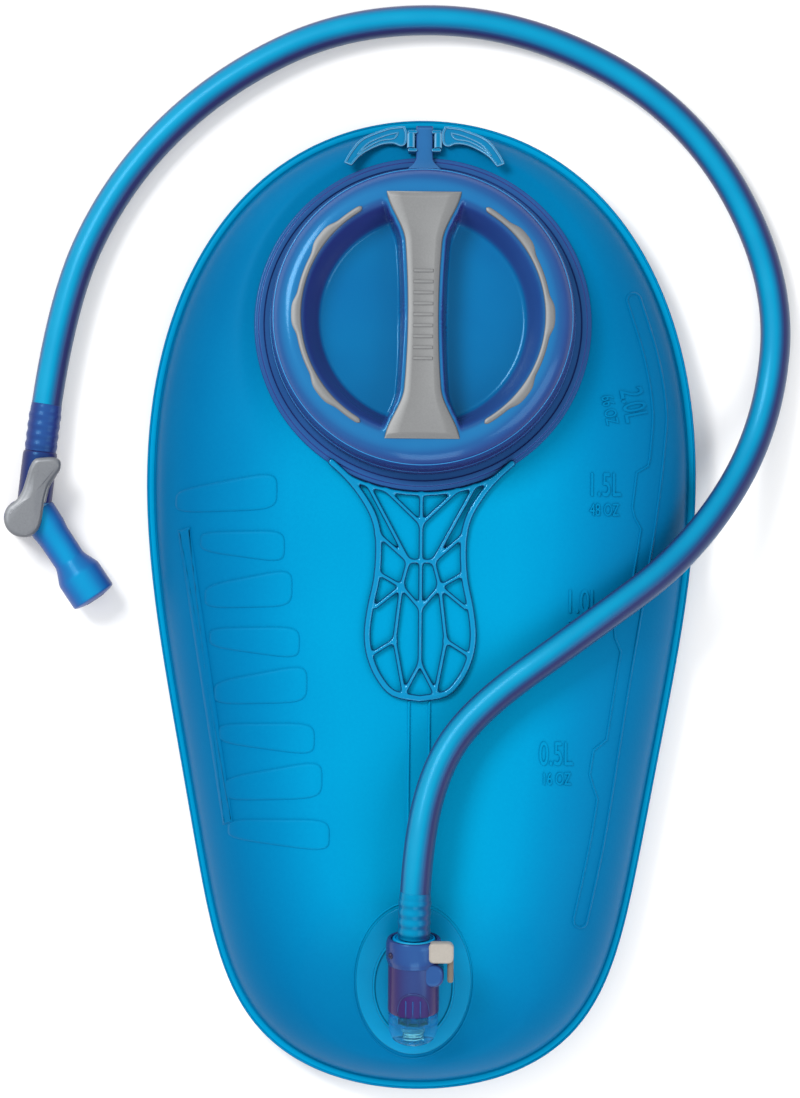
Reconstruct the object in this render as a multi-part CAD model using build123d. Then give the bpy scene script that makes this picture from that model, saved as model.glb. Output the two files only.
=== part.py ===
"""Hydration bladder: a film reservoir with a bayonet fill cap, a quick-release port and a drink tube.

Millimetres. The bladder lies on its back: +Z up out of its front, +Y towards the fill cap, +X to the right.
The origin is under the middle of the bladder, on the surface that it lies on. The tube lies round it.
"""

from build123d import *
import math
import os

# ---- bladder outline and films -------------------------------------------------------------------
HALF_LENGTH = 167.7          # half the length over the seam
HALF_WIDTH = 95.6            # half the largest width over the seam
EGG = (91.8, 22.9, 16.3, -27.8, 18.0)   # half width / sin(a) as a polynomial of cos(a), a from the top
OUTLINE_POINTS = 28
FILM = 0.8                   # film thickness
SEAM_WIDTH = 3.0
SEAM_PLY = 0.6               # one ply of the welded seam
SEAM_Z = 11.2                # plane where the two films meet
FRONT_PROFILE = [
    (SEAM_WIDTH, 0.0), (6.0, 6.6), (10.0, 12.5), (18.0, 18.7), (30.0, 23.8), (46.0, 27.3), (64.0, 28.8),
]                            # (inset from the outline, rise over the seam)
BACK_PROFILE = [(SEAM_WIDTH, 0.0), (6.0, 4.8), (12.0, 8.6), (26.0, 11.2)]

# ---- fill collar and cap -------------------------------------------------------------------------
COLLAR_Y = 96.6
COLLAR_Z = 31.9              # height of the collar's weld plane on its axis
COLLAR_TILT = 8.0            # degrees, towards +Y
FLANGE_R = 58.0
FLANGE_THICK = 1.6
FILL_R = 40.0                # fill bore
NECK_R = 44.0
NECK_TOP = 13.0
CAP_R = 52.4
CAP_LOW = 2.4
CAP_TOP = 20.6
SKIRT_R = 47.6               # inside of the cap's skirt
PLUG_R = 39.4                # outside of the plug that enters the fill bore
CEILING = 15.6               # underside of the cap over the neck
PLUG_LOW = 5.4
RECESS_FLOOR = 8.4
RECESS_R = 35.4
CROWN_R = 44.6               # radius of the crown's highest circle
LUG_COUNT = 4
LUG_REACH = 1.6
GRIP_R = 43.0                # middle of the two curved grips
GRIP_WIDTH = 2.4
GRIP_BUMP = 1.7              # how far the finger bumps stand out
GRIP_HALF_ANGLE = 58.0
BRIDGE_HALF_LENGTH = 43.5
BRIDGE_END_HALF = 14.3
BRIDGE_WAIST_HALF = 6.7
BRIDGE_RIM = 1.4             # cap plastic that frames the grey insert on each side

# ---- hang tab and dryer arms ---------------------------------------------------------------------
TAB_Y = 154.6
TAB_Z = 25.4
TAB_SLOPE = 30.0             # degrees that the tab falls towards the seam
TAB_HALF = 3.0
TAB_LENGTH = 11.5
ARM_PIN_X = 4.7
ARM_PIN_R = 0.7
ARM_PIN_Z = 1.7
ARM_PIN_GAP = 0.08
ARM_BARREL_R = 1.4
ARM_LOW = 1.0                # underside of the arm over the tab's plane
ARM_THICK = 1.4

# ---- handle --------------------------------------------------------------------------------------
HANDLE_Z = 40.2
HANDLE_THICK = 1.8
HANDLE_RIM = 1.9             # width of the rim and of the ribs
HANDLE_RIB = 1.6

# ---- exit port and quick connector ---------------------------------------------------------------
PORT_X = -1.2
PORT_Y = -128.0
PORT_Z = 32.3
PORT_TILT = 15.0             # degrees, the port faces up and towards -Y
PLATE_THICK = 1.2
PLATE_HALF_LENGTH = 28.0
PLATE_HALF_WIDTH = 20.0
POCKET_HALF_WIDTH = 13.2
POCKET_HALF_LENGTH = 18.2
POCKET_RIM = 1.4
POCKET_STEP = 0.4            # rim over the plate, and pocket under it
AXIS_H = 11.2                # connector axis over the plate's underside
SOCKET_R = 8.4
SOCKET_FROM = -20.0
SOCKET_TO = -8.8
NOSE_R = 5.35
NOSE_TIP = -13.0
SOCKET_BORE_R = 5.45
SEAT_AT = -13.6
SEAT_THICK = 0.8
CHAMBER_R = 4.6
CHAMBER_END = -19.0
OUTLET_Y = -16.8             # where the water comes up into the port
OUTLET_R = 2.8
STEM_R = 5.6
STEM_DEPTH = 8.0
HOUSING_R = 8.8
HOUSING_FROM = -8.4
COLLAR_FROM = 9.2
COLLAR_TO = 17.8
CONNECTOR_COLLAR_R = 9.3
WATER_R = 2.6
BARB_FLANGE_R = 7.5
BARB_FLANGE = 2.4
BARB_COUNT = 4
BARB_PITCH = 3.4
BUTTON_TRAVEL = 1.0

# ---- drink tube ----------------------------------------------------------------------------------
TUBE_R = 5.25
TUBE_BORE_R = 3.5
FLOOR_Z = 5.4                # tube axis where it lies on the floor
VALVE_Z = 8.4                # valve axis over the floor
START_RUN = 24.4             # straight run out of the connector
RUN_SHARE = 0.45             # how much of the shorter run an arc takes

# ---- bite valve ----------------------------------------------------------------------------------
TUBE_END = (-132.2, 52.0)
VALVE_HEADING = -6.25        # degrees that the valve's axis turns from Y
INLET_R = 6.0
ELBOW_Y = -19.2
OUTLET_TURN = 40.3           # degrees between the valve's inlet and its outlet
BOSS_X = -3.1
BOSS_Y = -23.7
BOSS_R = 6.6
PLUG_BORE_R = 5.7
PLUG_GAP = 0.05
LEVER_Z = 7.0                # underside of the lever over the valve axis
LEVER_THICK = 2.6
LEVER_DISC_R = 6.7
BITE_STEM_R = 5.5
BITE_CUP_R = 8.0
BITE_FROM = 9.4
BITE_FLARE_FROM = 23.3
BITE_FLARE_TO = 29.0
BITE_TO = 38.8


def shell_point(angle, inset):
    """A point of the outline, drawn in towards the middle by inset on both axes."""
    c = math.cos(angle)
    x = math.sin(angle) * sum(k * c**n for n, k in enumerate(EGG))
    y = HALF_LENGTH * c
    return x * (1 - inset / HALF_WIDTH), y * (1 - inset / HALF_LENGTH)


def outline(inset, z):
    """The egg-shaped outline as a flat face."""
    step = 2 * math.pi / OUTLINE_POINTS
    points = [(*shell_point(i * step, inset), z) for i in range(OUTLINE_POINTS)]
    return make_face(Spline(*points, periodic=True))


def pillow(profile, side, more_inset=0.0, lower=0.0):
    """A solid that rises from the seam plane. side is +1 for the front and -1 for the back."""
    faces = [outline(inset + more_inset, SEAM_Z + side * (rise - lower)) for inset, rise in profile]
    return loft(faces)


FROM_BELOW = (Align.CENTER, Align.CENTER, Align.MIN)


def above(plane_location, offset):
    """Everything over a tilted plane, as a big slab."""
    return plane_location * Pos(0, 0, offset) * Box(400, 400, 80, align=FROM_BELOW)


def drum(radius, low, high):
    """A cylinder along local Z."""
    return Pos(0, 0, low) * Cylinder(radius, high - low, align=FROM_BELOW)


def rod(radius, low, high, x=0.0, z=0.0):
    """A cylinder along local Y, from low to high."""
    return Pos(x, low, z) * Rot(-90, 0, 0) * Cylinder(radius, high - low, align=FROM_BELOW)


def block(x0, x1, y0, y1, z0, z1):
    """A box between two corners."""
    return Pos((x0 + x1) / 2, (y0 + y1) / 2, (z0 + z1) / 2) * Box(x1 - x0, y1 - y0, z1 - z0)


def plate(points, low, high):
    """A flat plate with a straight-sided outline."""
    return Pos(0, 0, low) * extrude(make_face(Polyline(*points, close=True)), high - low)


def mirrored(shape):
    """The same shape on the other side of the YZ plane."""
    return mirror(shape, about=Plane.YZ)


COLLAR = Location((0, COLLAR_Y, COLLAR_Z), (-COLLAR_TILT, 0, 0))
TAB = Location((0, TAB_Y, TAB_Z), (-TAB_SLOPE, 0, 0))
PORT = Location((PORT_X, PORT_Y, PORT_Z), (PORT_TILT, 0, 0))
VALVE = Location((TUBE_END[0], TUBE_END[1], VALVE_Z), (0, 0, VALVE_HEADING))


# ---- films ---------------------------------------------------------------------------------------
def front_film():
    outside = pillow(FRONT_PROFILE, 1)
    inside = pillow(FRONT_PROFILE, 1, more_inset=FILM, lower=FILM)
    for seat in (COLLAR, PORT):
        outside -= above(seat, 0)
        inside -= above(seat, -FILM)
    seam = extrude(outline(0, SEAM_Z), SEAM_PLY)
    film = outside + seam - inside
    film -= COLLAR * drum(FILL_R, -20, 20)
    film -= PORT * Pos(0, OUTLET_Y, 0) * drum(STEM_R, -20, 20)
    return film


def back_film():
    outside = pillow(BACK_PROFILE, -1)
    inside = pillow(BACK_PROFILE, -1, more_inset=FILM, lower=FILM)
    seam = Pos(0, 0, -SEAM_PLY) * extrude(outline(0, SEAM_Z), SEAM_PLY)
    return outside + seam - inside


def center_baffle():
    """The web that holds the two films together, with a weld strip on each film."""
    low = FILM
    high = SEAM_Z + FRONT_PROFILE[-1][1] - FILM
    half_strip = 3.8
    strip = 0.6
    back, front = -98.0, -34.0
    web = block(-0.4, 0.4, back, front, low, high)
    top = block(-half_strip, half_strip, back, front, high - strip, high)
    bottom = block(-half_strip, half_strip, back, front, low, low + strip)
    return web + top + bottom


# ---- fill collar and cap -------------------------------------------------------------------------
def fill_collar():
    flange = drum(FLANGE_R, 0, FLANGE_THICK)
    bead = drum(FLANGE_R - 1.6, 0, FLANGE_THICK + 0.5) - drum(FLANGE_R - 3.4, 0, NECK_TOP)
    neck = drum(NECK_R, 0, NECK_TOP)
    body = flange + bead + neck - drum(FILL_R, -1, NECK_TOP + 1)
    for i in range(LUG_COUNT):
        lug = block(NECK_R - 1, NECK_R + LUG_REACH, -9, 9, 8.6, 11.2)
        body += Rot(0, 0, 45 + 90 * i) * lug & drum(NECK_R + LUG_REACH, 0, NECK_TOP)
    body = COLLAR * body
    body += COLLAR * block(-TAB_HALF, TAB_HALF, FLANGE_R - 2, FLANGE_R + 1.5, 0, 2.8)
    tab = block(-TAB_HALF, TAB_HALF, -1.5, TAB_LENGTH, 0, 1.8)
    for side in (-1, 1):
        x0, x1 = sorted((2.5 * side, 6.1 * side))
        for y0 in (0.8, 8.2):
            tab += block(x0, x1, y0, y0 + 1.2, 0.3, 3.1)
        tab += rod(ARM_PIN_R, 1.0, 9.2, side * ARM_PIN_X, ARM_PIN_Z)
    return body + TAB * tab


def dryer_arm():
    """The left arm: a bar that bends back beside the cap, on a hinge barrel beside the tab."""
    pin_hole = rod(ARM_PIN_R + ARM_PIN_GAP, 1, 9.5, -ARM_PIN_X, ARM_PIN_Z)
    barrel = rod(ARM_BARREL_R, 2.2, 8.0, -ARM_PIN_X, ARM_PIN_Z) - pin_hole
    outer = Spline((-8.4, 10.8), (-14.0, 9.4), (-21.2, 5.8), (-27.2, -3.6))
    inner = Spline((-25.2, -4.6), (-21.8, -0.2), (-15.7, 3.6), (-10.0, 4.4))
    edges = [outer, Line((-27.2, -3.6), (-25.2, -4.6)), inner]
    edges += [Line((-10.0, 4.4), (-10.0, 2.4)), Line((-10.0, 2.4), (-5.6, 2.4))]
    edges += [Line((-5.6, 2.4), (-5.6, 7.8)), Line((-5.6, 7.8), (-7.4, 7.8))]
    edges += [Line((-7.4, 7.8), (-8.4, 10.8))]
    bar = extrude(make_face(edges), ARM_THICK)
    rib_line = [(-8, 8.2), (-8, 7.4), (-15, 6.4), (-20.5, 3.2), (-21, 4.2), (-15, 7.4)]
    rib = Pos(0, 0, ARM_LOW + ARM_THICK) * plate(rib_line, 0, 0.5)
    return TAB * (barrel + Pos(0, 0, ARM_LOW) * bar + rib - pin_hole)


def cap_seal():
    ring = Pos(NECK_R - 1.9, NECK_TOP + 1.3, 0) * Circle(1.0)
    return COLLAR * revolve(Plane.XZ * ring, Axis.Z)


def cap_section():
    """Half the cap's section, x outwards and y up: plug, ceiling, skirt, crown and recess."""
    crown_side = (CAP_R, CAP_TOP - 8.2)
    edges = [
        Line((0, PLUG_LOW), (PLUG_R, PLUG_LOW)),
        Line((PLUG_R, PLUG_LOW), (PLUG_R, CEILING)),
        Line((PLUG_R, CEILING), (SKIRT_R, CEILING)),
        Line((SKIRT_R, CEILING), (SKIRT_R, CAP_LOW)),
        Line((SKIRT_R, CAP_LOW), (CAP_R, CAP_LOW)),
        Line((CAP_R, CAP_LOW), crown_side),
        TangentArc(crown_side, (CROWN_R, CAP_TOP), tangent=(0, 1)),
        TangentArc((CROWN_R, CAP_TOP), (39.8, CAP_TOP - 3.4), tangent=(-1, 0)),
        Line((39.8, CAP_TOP - 3.4), (RECESS_R + 1.6, RECESS_FLOOR + 1.6)),
        Line((RECESS_R + 1.6, RECESS_FLOOR + 1.6), (RECESS_R, RECESS_FLOOR)),
        Line((RECESS_R, RECESS_FLOOR), (0, RECESS_FLOOR)),
        Line((0, RECESS_FLOOR), (0, PLUG_LOW)),
    ]
    return make_face(edges)


def hourglass(rim):
    """The bridge seen from above, narrowed by rim on each side."""
    end = BRIDGE_END_HALF - rim
    waist = BRIDGE_WAIST_HALF - rim
    y = BRIDGE_HALF_LENGTH
    side = [(end, y), (waist + 3.0, 0.66 * y), (waist, 0.3 * y)]
    side += [(px, -py) for px, py in reversed(side)]
    right = Spline(*side)
    left = Spline(*[(-px, -py) for px, py in side])
    return make_face([right, Line((end, -y), (-end, -y)), left, Line((-end, y), (end, y))])


def curved_grip():
    """The right grip: an arc band with three finger bumps on its outer side."""
    half = GRIP_WIDTH / 2
    band = drum(GRIP_R + half, 0, 4.0) - drum(GRIP_R - half, -1, 5.0)
    reach = 60.0
    a = math.radians(GRIP_HALF_ANGLE)
    corner = (reach * math.cos(a), reach * math.sin(a))
    wedge = plate([(0, 0), (corner[0], -corner[1]), (reach * 2, 0), corner], -1, 5)
    grip = band & wedge
    for angle in (-GRIP_HALF_ANGLE, GRIP_HALF_ANGLE):
        grip += Rot(0, 0, angle) * Pos(GRIP_R, 0, 0) * drum(half, 0, 4.0)
    for angle in (-38.0, 0.0, 38.0):
        bump = Rot(0, 0, angle) * Pos(GRIP_R - 7.0, 0, 0) * drum(10.4, 0, 4.0)
        grip += bump & drum(GRIP_R + half + GRIP_BUMP, 0, 4.0) - drum(GRIP_R, -1, 5.0)
    return Pos(0, 0, CAP_TOP - 3.6) * grip


def cap_parts():
    shell = revolve(Plane.XZ * cap_section(), Axis.Z)
    bridge = extrude(hourglass(0), CAP_TOP)
    shell += bridge & drum(RECESS_R + 2, RECESS_FLOOR - 1, CAP_TOP) + drum(CROWN_R, CEILING + 1, CAP_TOP)
    insert = Pos(0, 0, CAP_TOP - 1.0) * extrude(hourglass(BRIDGE_RIM), 1.9)
    insert &= drum(CROWN_R - 0.8, 0, CAP_TOP + 2)
    right = curved_grip()
    left = mirrored(right)
    for i in range(LUG_COUNT):
        lug = block(SKIRT_R - LUG_REACH, SKIRT_R + 1, -9, 9, 4.4, 7.0)
        shell += Rot(0, 0, 45 + 90 * i) * lug - drum(SKIRT_R - LUG_REACH, 0, CAP_TOP)
    shell = shell - insert - right - left
    return {
        "cap_shell": COLLAR * shell,
        "cap_bridge_grip": COLLAR * insert,
        "cap_grip_right": COLLAR * right,
        "cap_grip_left": COLLAR * left,
    }


# ---- handle --------------------------------------------------------------------------------------
HANDLE_RIM_HALF = [
    (31.0, 49.0), (25.2, 43.6), (20.0, 37.0), (16.2, 30.0), (14.6, 22.0), (15.0, 10.0),
    (17.2, -1.0), (18.2, -10.0), (17.2, -17.5), (14.2, -24.5), (9.0, -30.2), (0.0, -32.0),
]
HANDLE_RIBS_HALF = [
    ((0, 52), (0, 28)), ((12.8, 42), (0, 28)), ((17.2, 38), (4.3, 15.2)), ((14.6, 24), (4.3, 15.2)),
    ((0, 15.2), (4.3, 15.2)), ((0, 28), (0, -20)), ((4.3, 15.2), (6.6, 6.5)), ((6.6, 6.5), (14.6, 11)),
    ((6.6, 6.5), (15.2, -0.5)), ((6.6, 6.5), (0, -1.0)), ((6.6, 6.5), (8.8, -12.0)),
    ((8.8, -12.0), (16.8, -17.0)), ((8.8, -12.0), (5.6, -29.0)), ((0, -20), (5.0, -29.5)),
]


def strut(start, end, width):
    """One flat bar of the lattice, with round ends."""
    length = math.dist(start, end)
    angle = math.degrees(math.atan2(end[1] - start[1], end[0] - start[0]))
    middle = Pos((start[0] + end[0]) / 2, (start[1] + end[1]) / 2)
    return middle * Rot(0, 0, angle) * SlotCenterToCenter(length, width)


def handle():
    """The moulded lattice that hangs below the collar, with a rim and slanting ribs."""
    rim = HANDLE_RIM_HALF
    flat = Sketch()
    for side in (1, -1):
        for a, b in zip(rim[:-1], rim[1:]):
            flat += strut((side * a[0], a[1]), (side * b[0], b[1]), HANDLE_RIM)
        for a, b in HANDLE_RIBS_HALF:
            flat += strut((side * a[0], a[1]), (side * b[0], b[1]), HANDLE_RIB)
    lattice = Pos(0, 0, HANDLE_Z) * extrude(flat, HANDLE_THICK)
    return lattice - COLLAR * drum(FLANGE_R, -10, 30)


# ---- exit port -----------------------------------------------------------------------------------
def exit_port():
    """The clear moulding welded over the film: plate, pocket rim, socket, valve seat and stem."""
    base = extrude(Pos(0, -1) * Ellipse(PLATE_HALF_WIDTH, PLATE_HALF_LENGTH - 1), PLATE_THICK)
    rim_out = extrude(Pos(0, -3) * Ellipse(POCKET_HALF_WIDTH + POCKET_RIM, POCKET_HALF_LENGTH + POCKET_RIM),
                      PLATE_THICK + POCKET_STEP)
    pocket = extrude(Pos(0, -3) * Ellipse(POCKET_HALF_WIDTH, POCKET_HALF_LENGTH), PLATE_THICK + 2)
    base += rim_out
    base -= pocket & drum(60, PLATE_THICK - POCKET_STEP, 9)
    base += rod(SOCKET_R, SOCKET_FROM, SOCKET_TO, 0, AXIS_H)
    base += block(-SOCKET_R, SOCKET_R, SOCKET_FROM, SOCKET_TO, 0, AXIS_H)
    base += Pos(0, OUTLET_Y, 0) * drum(STEM_R, -STEM_DEPTH, PLATE_THICK)
    base -= rod(SOCKET_BORE_R, SEAT_AT, SOCKET_TO + 1, 0, AXIS_H)
    base -= rod(WATER_R, SEAT_AT - 2, SEAT_AT + 1, 0, AXIS_H)
    base -= rod(CHAMBER_R, CHAMBER_END, SEAT_AT - SEAT_THICK, 0, AXIS_H)
    base -= Pos(0, OUTLET_Y, 0) * drum(OUTLET_R, -STEM_DEPTH - 1, AXIS_H)
    return PORT * base


def port_poppet():
    head = SEAT_AT - SEAT_THICK - 0.1
    disc = rod(3.9, head - 1.0, head, 0, AXIS_H)
    stem = rod(1.1, head - 0.5, NOSE_TIP - 0.3, 0, AXIS_H)
    return PORT * (disc + stem)


def coil(radius, wire, low, high, turns):
    """A small compression spring along local Z."""
    height = high - low - 2 * wire
    path = Helix(pitch=height / turns, height=height, radius=radius)
    section = Plane(origin=path @ 0, z_dir=path % 0) * Circle(wire)
    return Pos(0, 0, low + wire) * sweep(section, path, is_frenet=True)


def port_spring():
    back = CHAMBER_END + 0.1
    front = SEAT_AT - SEAT_THICK - 1.2
    return PORT * Pos(0, back, AXIS_H) * Rot(-90, 0, 0) * coil(3.3, 0.25, 0, front - back, 3)


# ---- quick connector -----------------------------------------------------------------------------
BUTTON = dict(x0=4.6, x1=13.6, y0=10.9, y1=18.2, z0=AXIS_H + 4.6, z1=AXIS_H + 8.4)
BUTTON_ARM = dict(x0=11.3, x1=13.6, y0=3.6, y1=12.0, z0=AXIS_H + 1.0, z1=AXIS_H + 8.4)


def connector_housing():
    body = rod(HOUSING_R, HOUSING_FROM, COLLAR_FROM + 1, 0, AXIS_H)
    body += rod(CONNECTOR_COLLAR_R, COLLAR_FROM, COLLAR_TO, 0, AXIS_H)
    body += block(4.0, 9.7, 3.2, 10.5, AXIS_H, AXIS_H + 7.4)
    body += rod(NOSE_R - 0.5, NOSE_TIP, HOUSING_FROM + 1, 0, AXIS_H)
    for i in range(8):
        rib = Rot(0, 45 * i, 0) * block(-0.6, 0.6, -11.4, HOUSING_FROM + 0.5, 3.5, NOSE_R)
        body += Pos(0, 0, AXIS_H) * rib & rod(NOSE_R, NOSE_TIP, HOUSING_FROM + 1, 0, AXIS_H)
    body -= rod(WATER_R, NOSE_TIP - 1, COLLAR_TO + 1, 0, AXIS_H)
    body -= rod(BARB_FLANGE_R + 0.1, COLLAR_TO - BARB_FLANGE, COLLAR_TO + 1, 0, AXIS_H)
    body -= rod(4.3, 4.0, COLLAR_TO, 0, AXIS_H)
    gap = 0.3
    pocket = block(BUTTON["x0"] - BUTTON_TRAVEL - 1.6, 20, BUTTON["y0"] - gap, 30, BUTTON["z0"] - gap, 40)
    body -= pocket
    body -= Pos(-7.6, 12.4, AXIS_H) * drum(0.9, 2, 12)
    return PORT * body


def release_button():
    cap = block(**BUTTON)
    corners = cap.edges().filter_by(Axis.Z).group_by(Axis.X)[-1].group_by(Axis.Y)[-1]
    cap = fillet(corners, 1.8)
    around_flange = rod(BARB_FLANGE_R + 0.4 + BUTTON_TRAVEL, COLLAR_TO - BARB_FLANGE - 0.3, 40, 0, AXIS_H)
    button = cap + block(**BUTTON_ARM) - around_flange
    return PORT * button


def button_spring():
    start = BUTTON["x0"] - BUTTON_TRAVEL - 1.5
    middle = BUTTON["y0"] + 1.8
    spring = coil(1.3, 0.2, 0, BUTTON["x0"] - start - 0.1, 3)
    return PORT * Pos(start, middle, BUTTON["z1"] - 1.9) * Rot(0, 90, 0) * spring


def connector_seal():
    ring = Pos(NOSE_R - 0.55, -12.2) * Circle(0.5)
    return PORT * Pos(0, 0, AXIS_H) * revolve(ring, Axis.Y)


def barb_rib(at):
    """One barb round local Y, steep on the side that faces back along the tube."""
    section = Polyline((3.2, at), (3.8, at), (3.3, at + 2.0), (3.2, at + 2.0), close=True)
    return revolve(make_face(section), Axis.Y)


def hose_barb():
    """The barbed stem that the tube is pushed on to, with its flange in the housing's mouth."""
    stem = rod(3.3, 4.0, COLLAR_TO + 15, 0, AXIS_H)
    stem += rod(BARB_FLANGE_R, COLLAR_TO - BARB_FLANGE, COLLAR_TO, 0, AXIS_H)
    for i in range(BARB_COUNT):
        at = COLLAR_TO + 2.0 + BARB_PITCH * i
        stem += Pos(0, 0, AXIS_H) * barb_rib(at)
    return PORT * (stem - rod(WATER_R, 0, COLLAR_TO + 20, 0, AXIS_H))


# ---- drink tube ----------------------------------------------------------------------------------
def tube_start():
    """Where the tube leaves the connector, and the end of its straight run out."""
    return [tuple((PORT * Pos(0, COLLAR_TO + run, AXIS_H)).position) for run in (0, START_RUN)]


TUBE_POINTS = [
    (4.6, -57.4, 49.5), (18.9, -35.6, 47.0), (55.0, -9.3, 45.5), (94.2, 19.9, 29.5), (120.2, 62.5, 8.0),
    (124.2, 115.0, FLOOR_Z), (92.4, 171.5, FLOOR_Z), (34.5, 202.3, FLOOR_Z), (-24.6, 203.5, FLOOR_Z),
    (-71.4, 181.3, FLOOR_Z), (-106.8, 145.7, FLOOR_Z), (-127.0, 99.5, VALVE_Z),
]


def tube_path():
    points = [Vector(*p) for p in tube_start() + TUBE_POINTS + [(*TUBE_END, VALVE_Z)]]
    radii = []
    for before, corner, after in zip(points[:-2], points[1:-1], points[2:]):
        turn = math.radians((corner - before).get_angle(after - corner))
        shorter = min((corner - before).length, (after - corner).length)
        radii.append(RUN_SHARE * shorter / math.tan(turn / 2))
    print("tube radii", [round(r) for r in radii])
    return FilletPolyline(*points, radius=radii)


def drink_tube():
    path = tube_path()
    plane = Plane(origin=path @ 0, z_dir=path % 0)
    wall = plane * (Circle(TUBE_R) - Circle(TUBE_BORE_R))
    tube = sweep(wall, path)
    area = math.pi * (TUBE_R**2 - TUBE_BORE_R**2)
    print("tube length", round(path.length, 1), "volume ratio", round(tube.volume / area / path.length, 3))
    return tube


# ---- bite valve ----------------------------------------------------------------------------------
def outlet(shape):
    """Put a shape made along local -Y from the elbow on to the outlet's axis."""
    return Pos(0, ELBOW_Y, 0) * Rot(0, 0, OUTLET_TURN) * shape


def valve_body():
    body = rod(INLET_R, ELBOW_Y, 0) + Pos(0, ELBOW_Y, 0) * Sphere(INLET_R)
    body += rod(3.3, -1, 14.5)
    for i in range(BARB_COUNT):
        at = 1.6 + BARB_PITCH * i
        body += barb_rib(at)
    body += outlet(rod(INLET_R, -BITE_FROM, 0) + rod(3.4, -19.0, 0))
    body += Pos(BOSS_X, BOSS_Y, 0) * drum(BOSS_R, -7.6, 6.6)
    body -= rod(WATER_R, ELBOW_Y, 20) + outlet(rod(WATER_R, -20, 0)) + Pos(0, ELBOW_Y, 0) * Sphere(WATER_R)
    return VALVE * (body - Pos(BOSS_X, BOSS_Y, 0) * drum(PLUG_BORE_R, -6.0, 10))


def valve_plug():
    """The turning plug, with a waterway across one side and a groove for each of its two seals."""
    plug = drum(PLUG_BORE_R - PLUG_GAP, -5.9, 6.8) + drum(2.4, 6.0, LEVER_Z + 1.6)
    for z in (-4.6, 4.6):
        plug -= drum(PLUG_BORE_R, z - 0.6, z + 0.6) - drum(PLUG_BORE_R - 1.0, z - 1, z + 1)
    plug = Pos(BOSS_X, BOSS_Y, 0) * plug
    plug -= rod(WATER_R, ELBOW_Y, 20) + outlet(rod(WATER_R, -20, 0)) + Pos(0, ELBOW_Y, 0) * Sphere(WATER_R)
    return VALVE * plug


def plug_seals():
    ring = Pos(PLUG_BORE_R - 0.6, 4.6) * Circle(0.5)
    top = revolve(Plane.XZ * ring, Axis.Z)
    seals = [Pos(BOSS_X, BOSS_Y, z) * top for z in (0, -9.2)]
    return VALVE * Compound(children=seals)


def shutoff_lever():
    """The grey lever: a disc over the plug and an arm that lies along the inlet."""
    edges = [
        Spline((BOSS_X - 5.2, BOSS_Y + 3.6), (-3.6, -13.0), (-2.6, -7.0), (-1.6, -2.6)),
        Line((-1.6, -2.6), (7.4, -2.0)),
        Line((7.4, -2.0), (7.0, -6.0)),
        Spline((7.0, -6.0), (3.6, -9.5), (2.4, -14.5), (BOSS_X + 6.0, BOSS_Y + 1.6)),
        Line((BOSS_X + 6.0, BOSS_Y + 1.6), (BOSS_X - 5.2, BOSS_Y + 3.6)),
    ]
    disc = Pos(BOSS_X, BOSS_Y, 0) * drum(LEVER_DISC_R, 0, LEVER_THICK)
    lever = Pos(0, 0, LEVER_Z) * (extrude(make_face(edges), LEVER_THICK) + disc)
    return VALVE * (lever - Pos(BOSS_X, BOSS_Y, 0) * drum(2.4, 0, LEVER_Z + 1.6))


def mouthpiece():
    """The soft bite piece: a sleeve over the valve's outlet that flares to a cup with a slit end."""
    outside = Polyline(
        (0, -BITE_FROM), (BITE_STEM_R, -BITE_FROM), (BITE_STEM_R, -BITE_FLARE_FROM),
        (BITE_CUP_R, -BITE_FLARE_TO), (BITE_CUP_R, -BITE_TO + 0.8), (BITE_CUP_R - 0.8, -BITE_TO),
        (0, -BITE_TO), close=True)
    inside = Polyline(
        (0, -BITE_FROM + 1), (3.4, -BITE_FROM + 1), (3.4, -BITE_FLARE_FROM),
        (6.2, -BITE_FLARE_TO), (6.2, -BITE_TO + 1.4), (0, -BITE_TO + 1.4), close=True)
    piece = revolve(make_face(outside), Axis.Y) - revolve(make_face(inside), Axis.Y)
    return VALVE * outlet(piece - block(-3.5, 3.5, -BITE_TO - 1, -BITE_TO + 2, -0.2, 0.2))


# ---- export --------------------------------------------------------------------------------------
def main():
    arm = dryer_arm()
    nodes = {
        "front_film": front_film(),
        "back_film": back_film(),
        "center_baffle": center_baffle(),
        "fill_collar": fill_collar(),
        "dryer_arm_left": arm,
        "dryer_arm_right": mirrored(arm),
        "cap_seal": cap_seal(),
        **cap_parts(),
        "handle": handle(),
        "exit_port": exit_port(),
        "port_poppet": port_poppet(),
        "port_spring": port_spring(),
        "connector_housing": connector_housing(),
        "connector_seal": connector_seal(),
        "release_button": release_button(),
        "button_spring": button_spring(),
        "hose_barb": hose_barb(),
        "drink_tube": drink_tube(),
        "valve_body": valve_body(),
        "valve_plug": valve_plug(),
        "plug_seals": plug_seals(),
        "shutoff_lever": shutoff_lever(),
        "mouthpiece": mouthpiece(),
    }
    os.makedirs("parts", exist_ok=True)
    for name, shape in nodes.items():
        export_step(shape, f"parts/{name}.step")


main()
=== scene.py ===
import math

import bmesh
import bpy
from mathutils import Matrix, Vector


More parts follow.
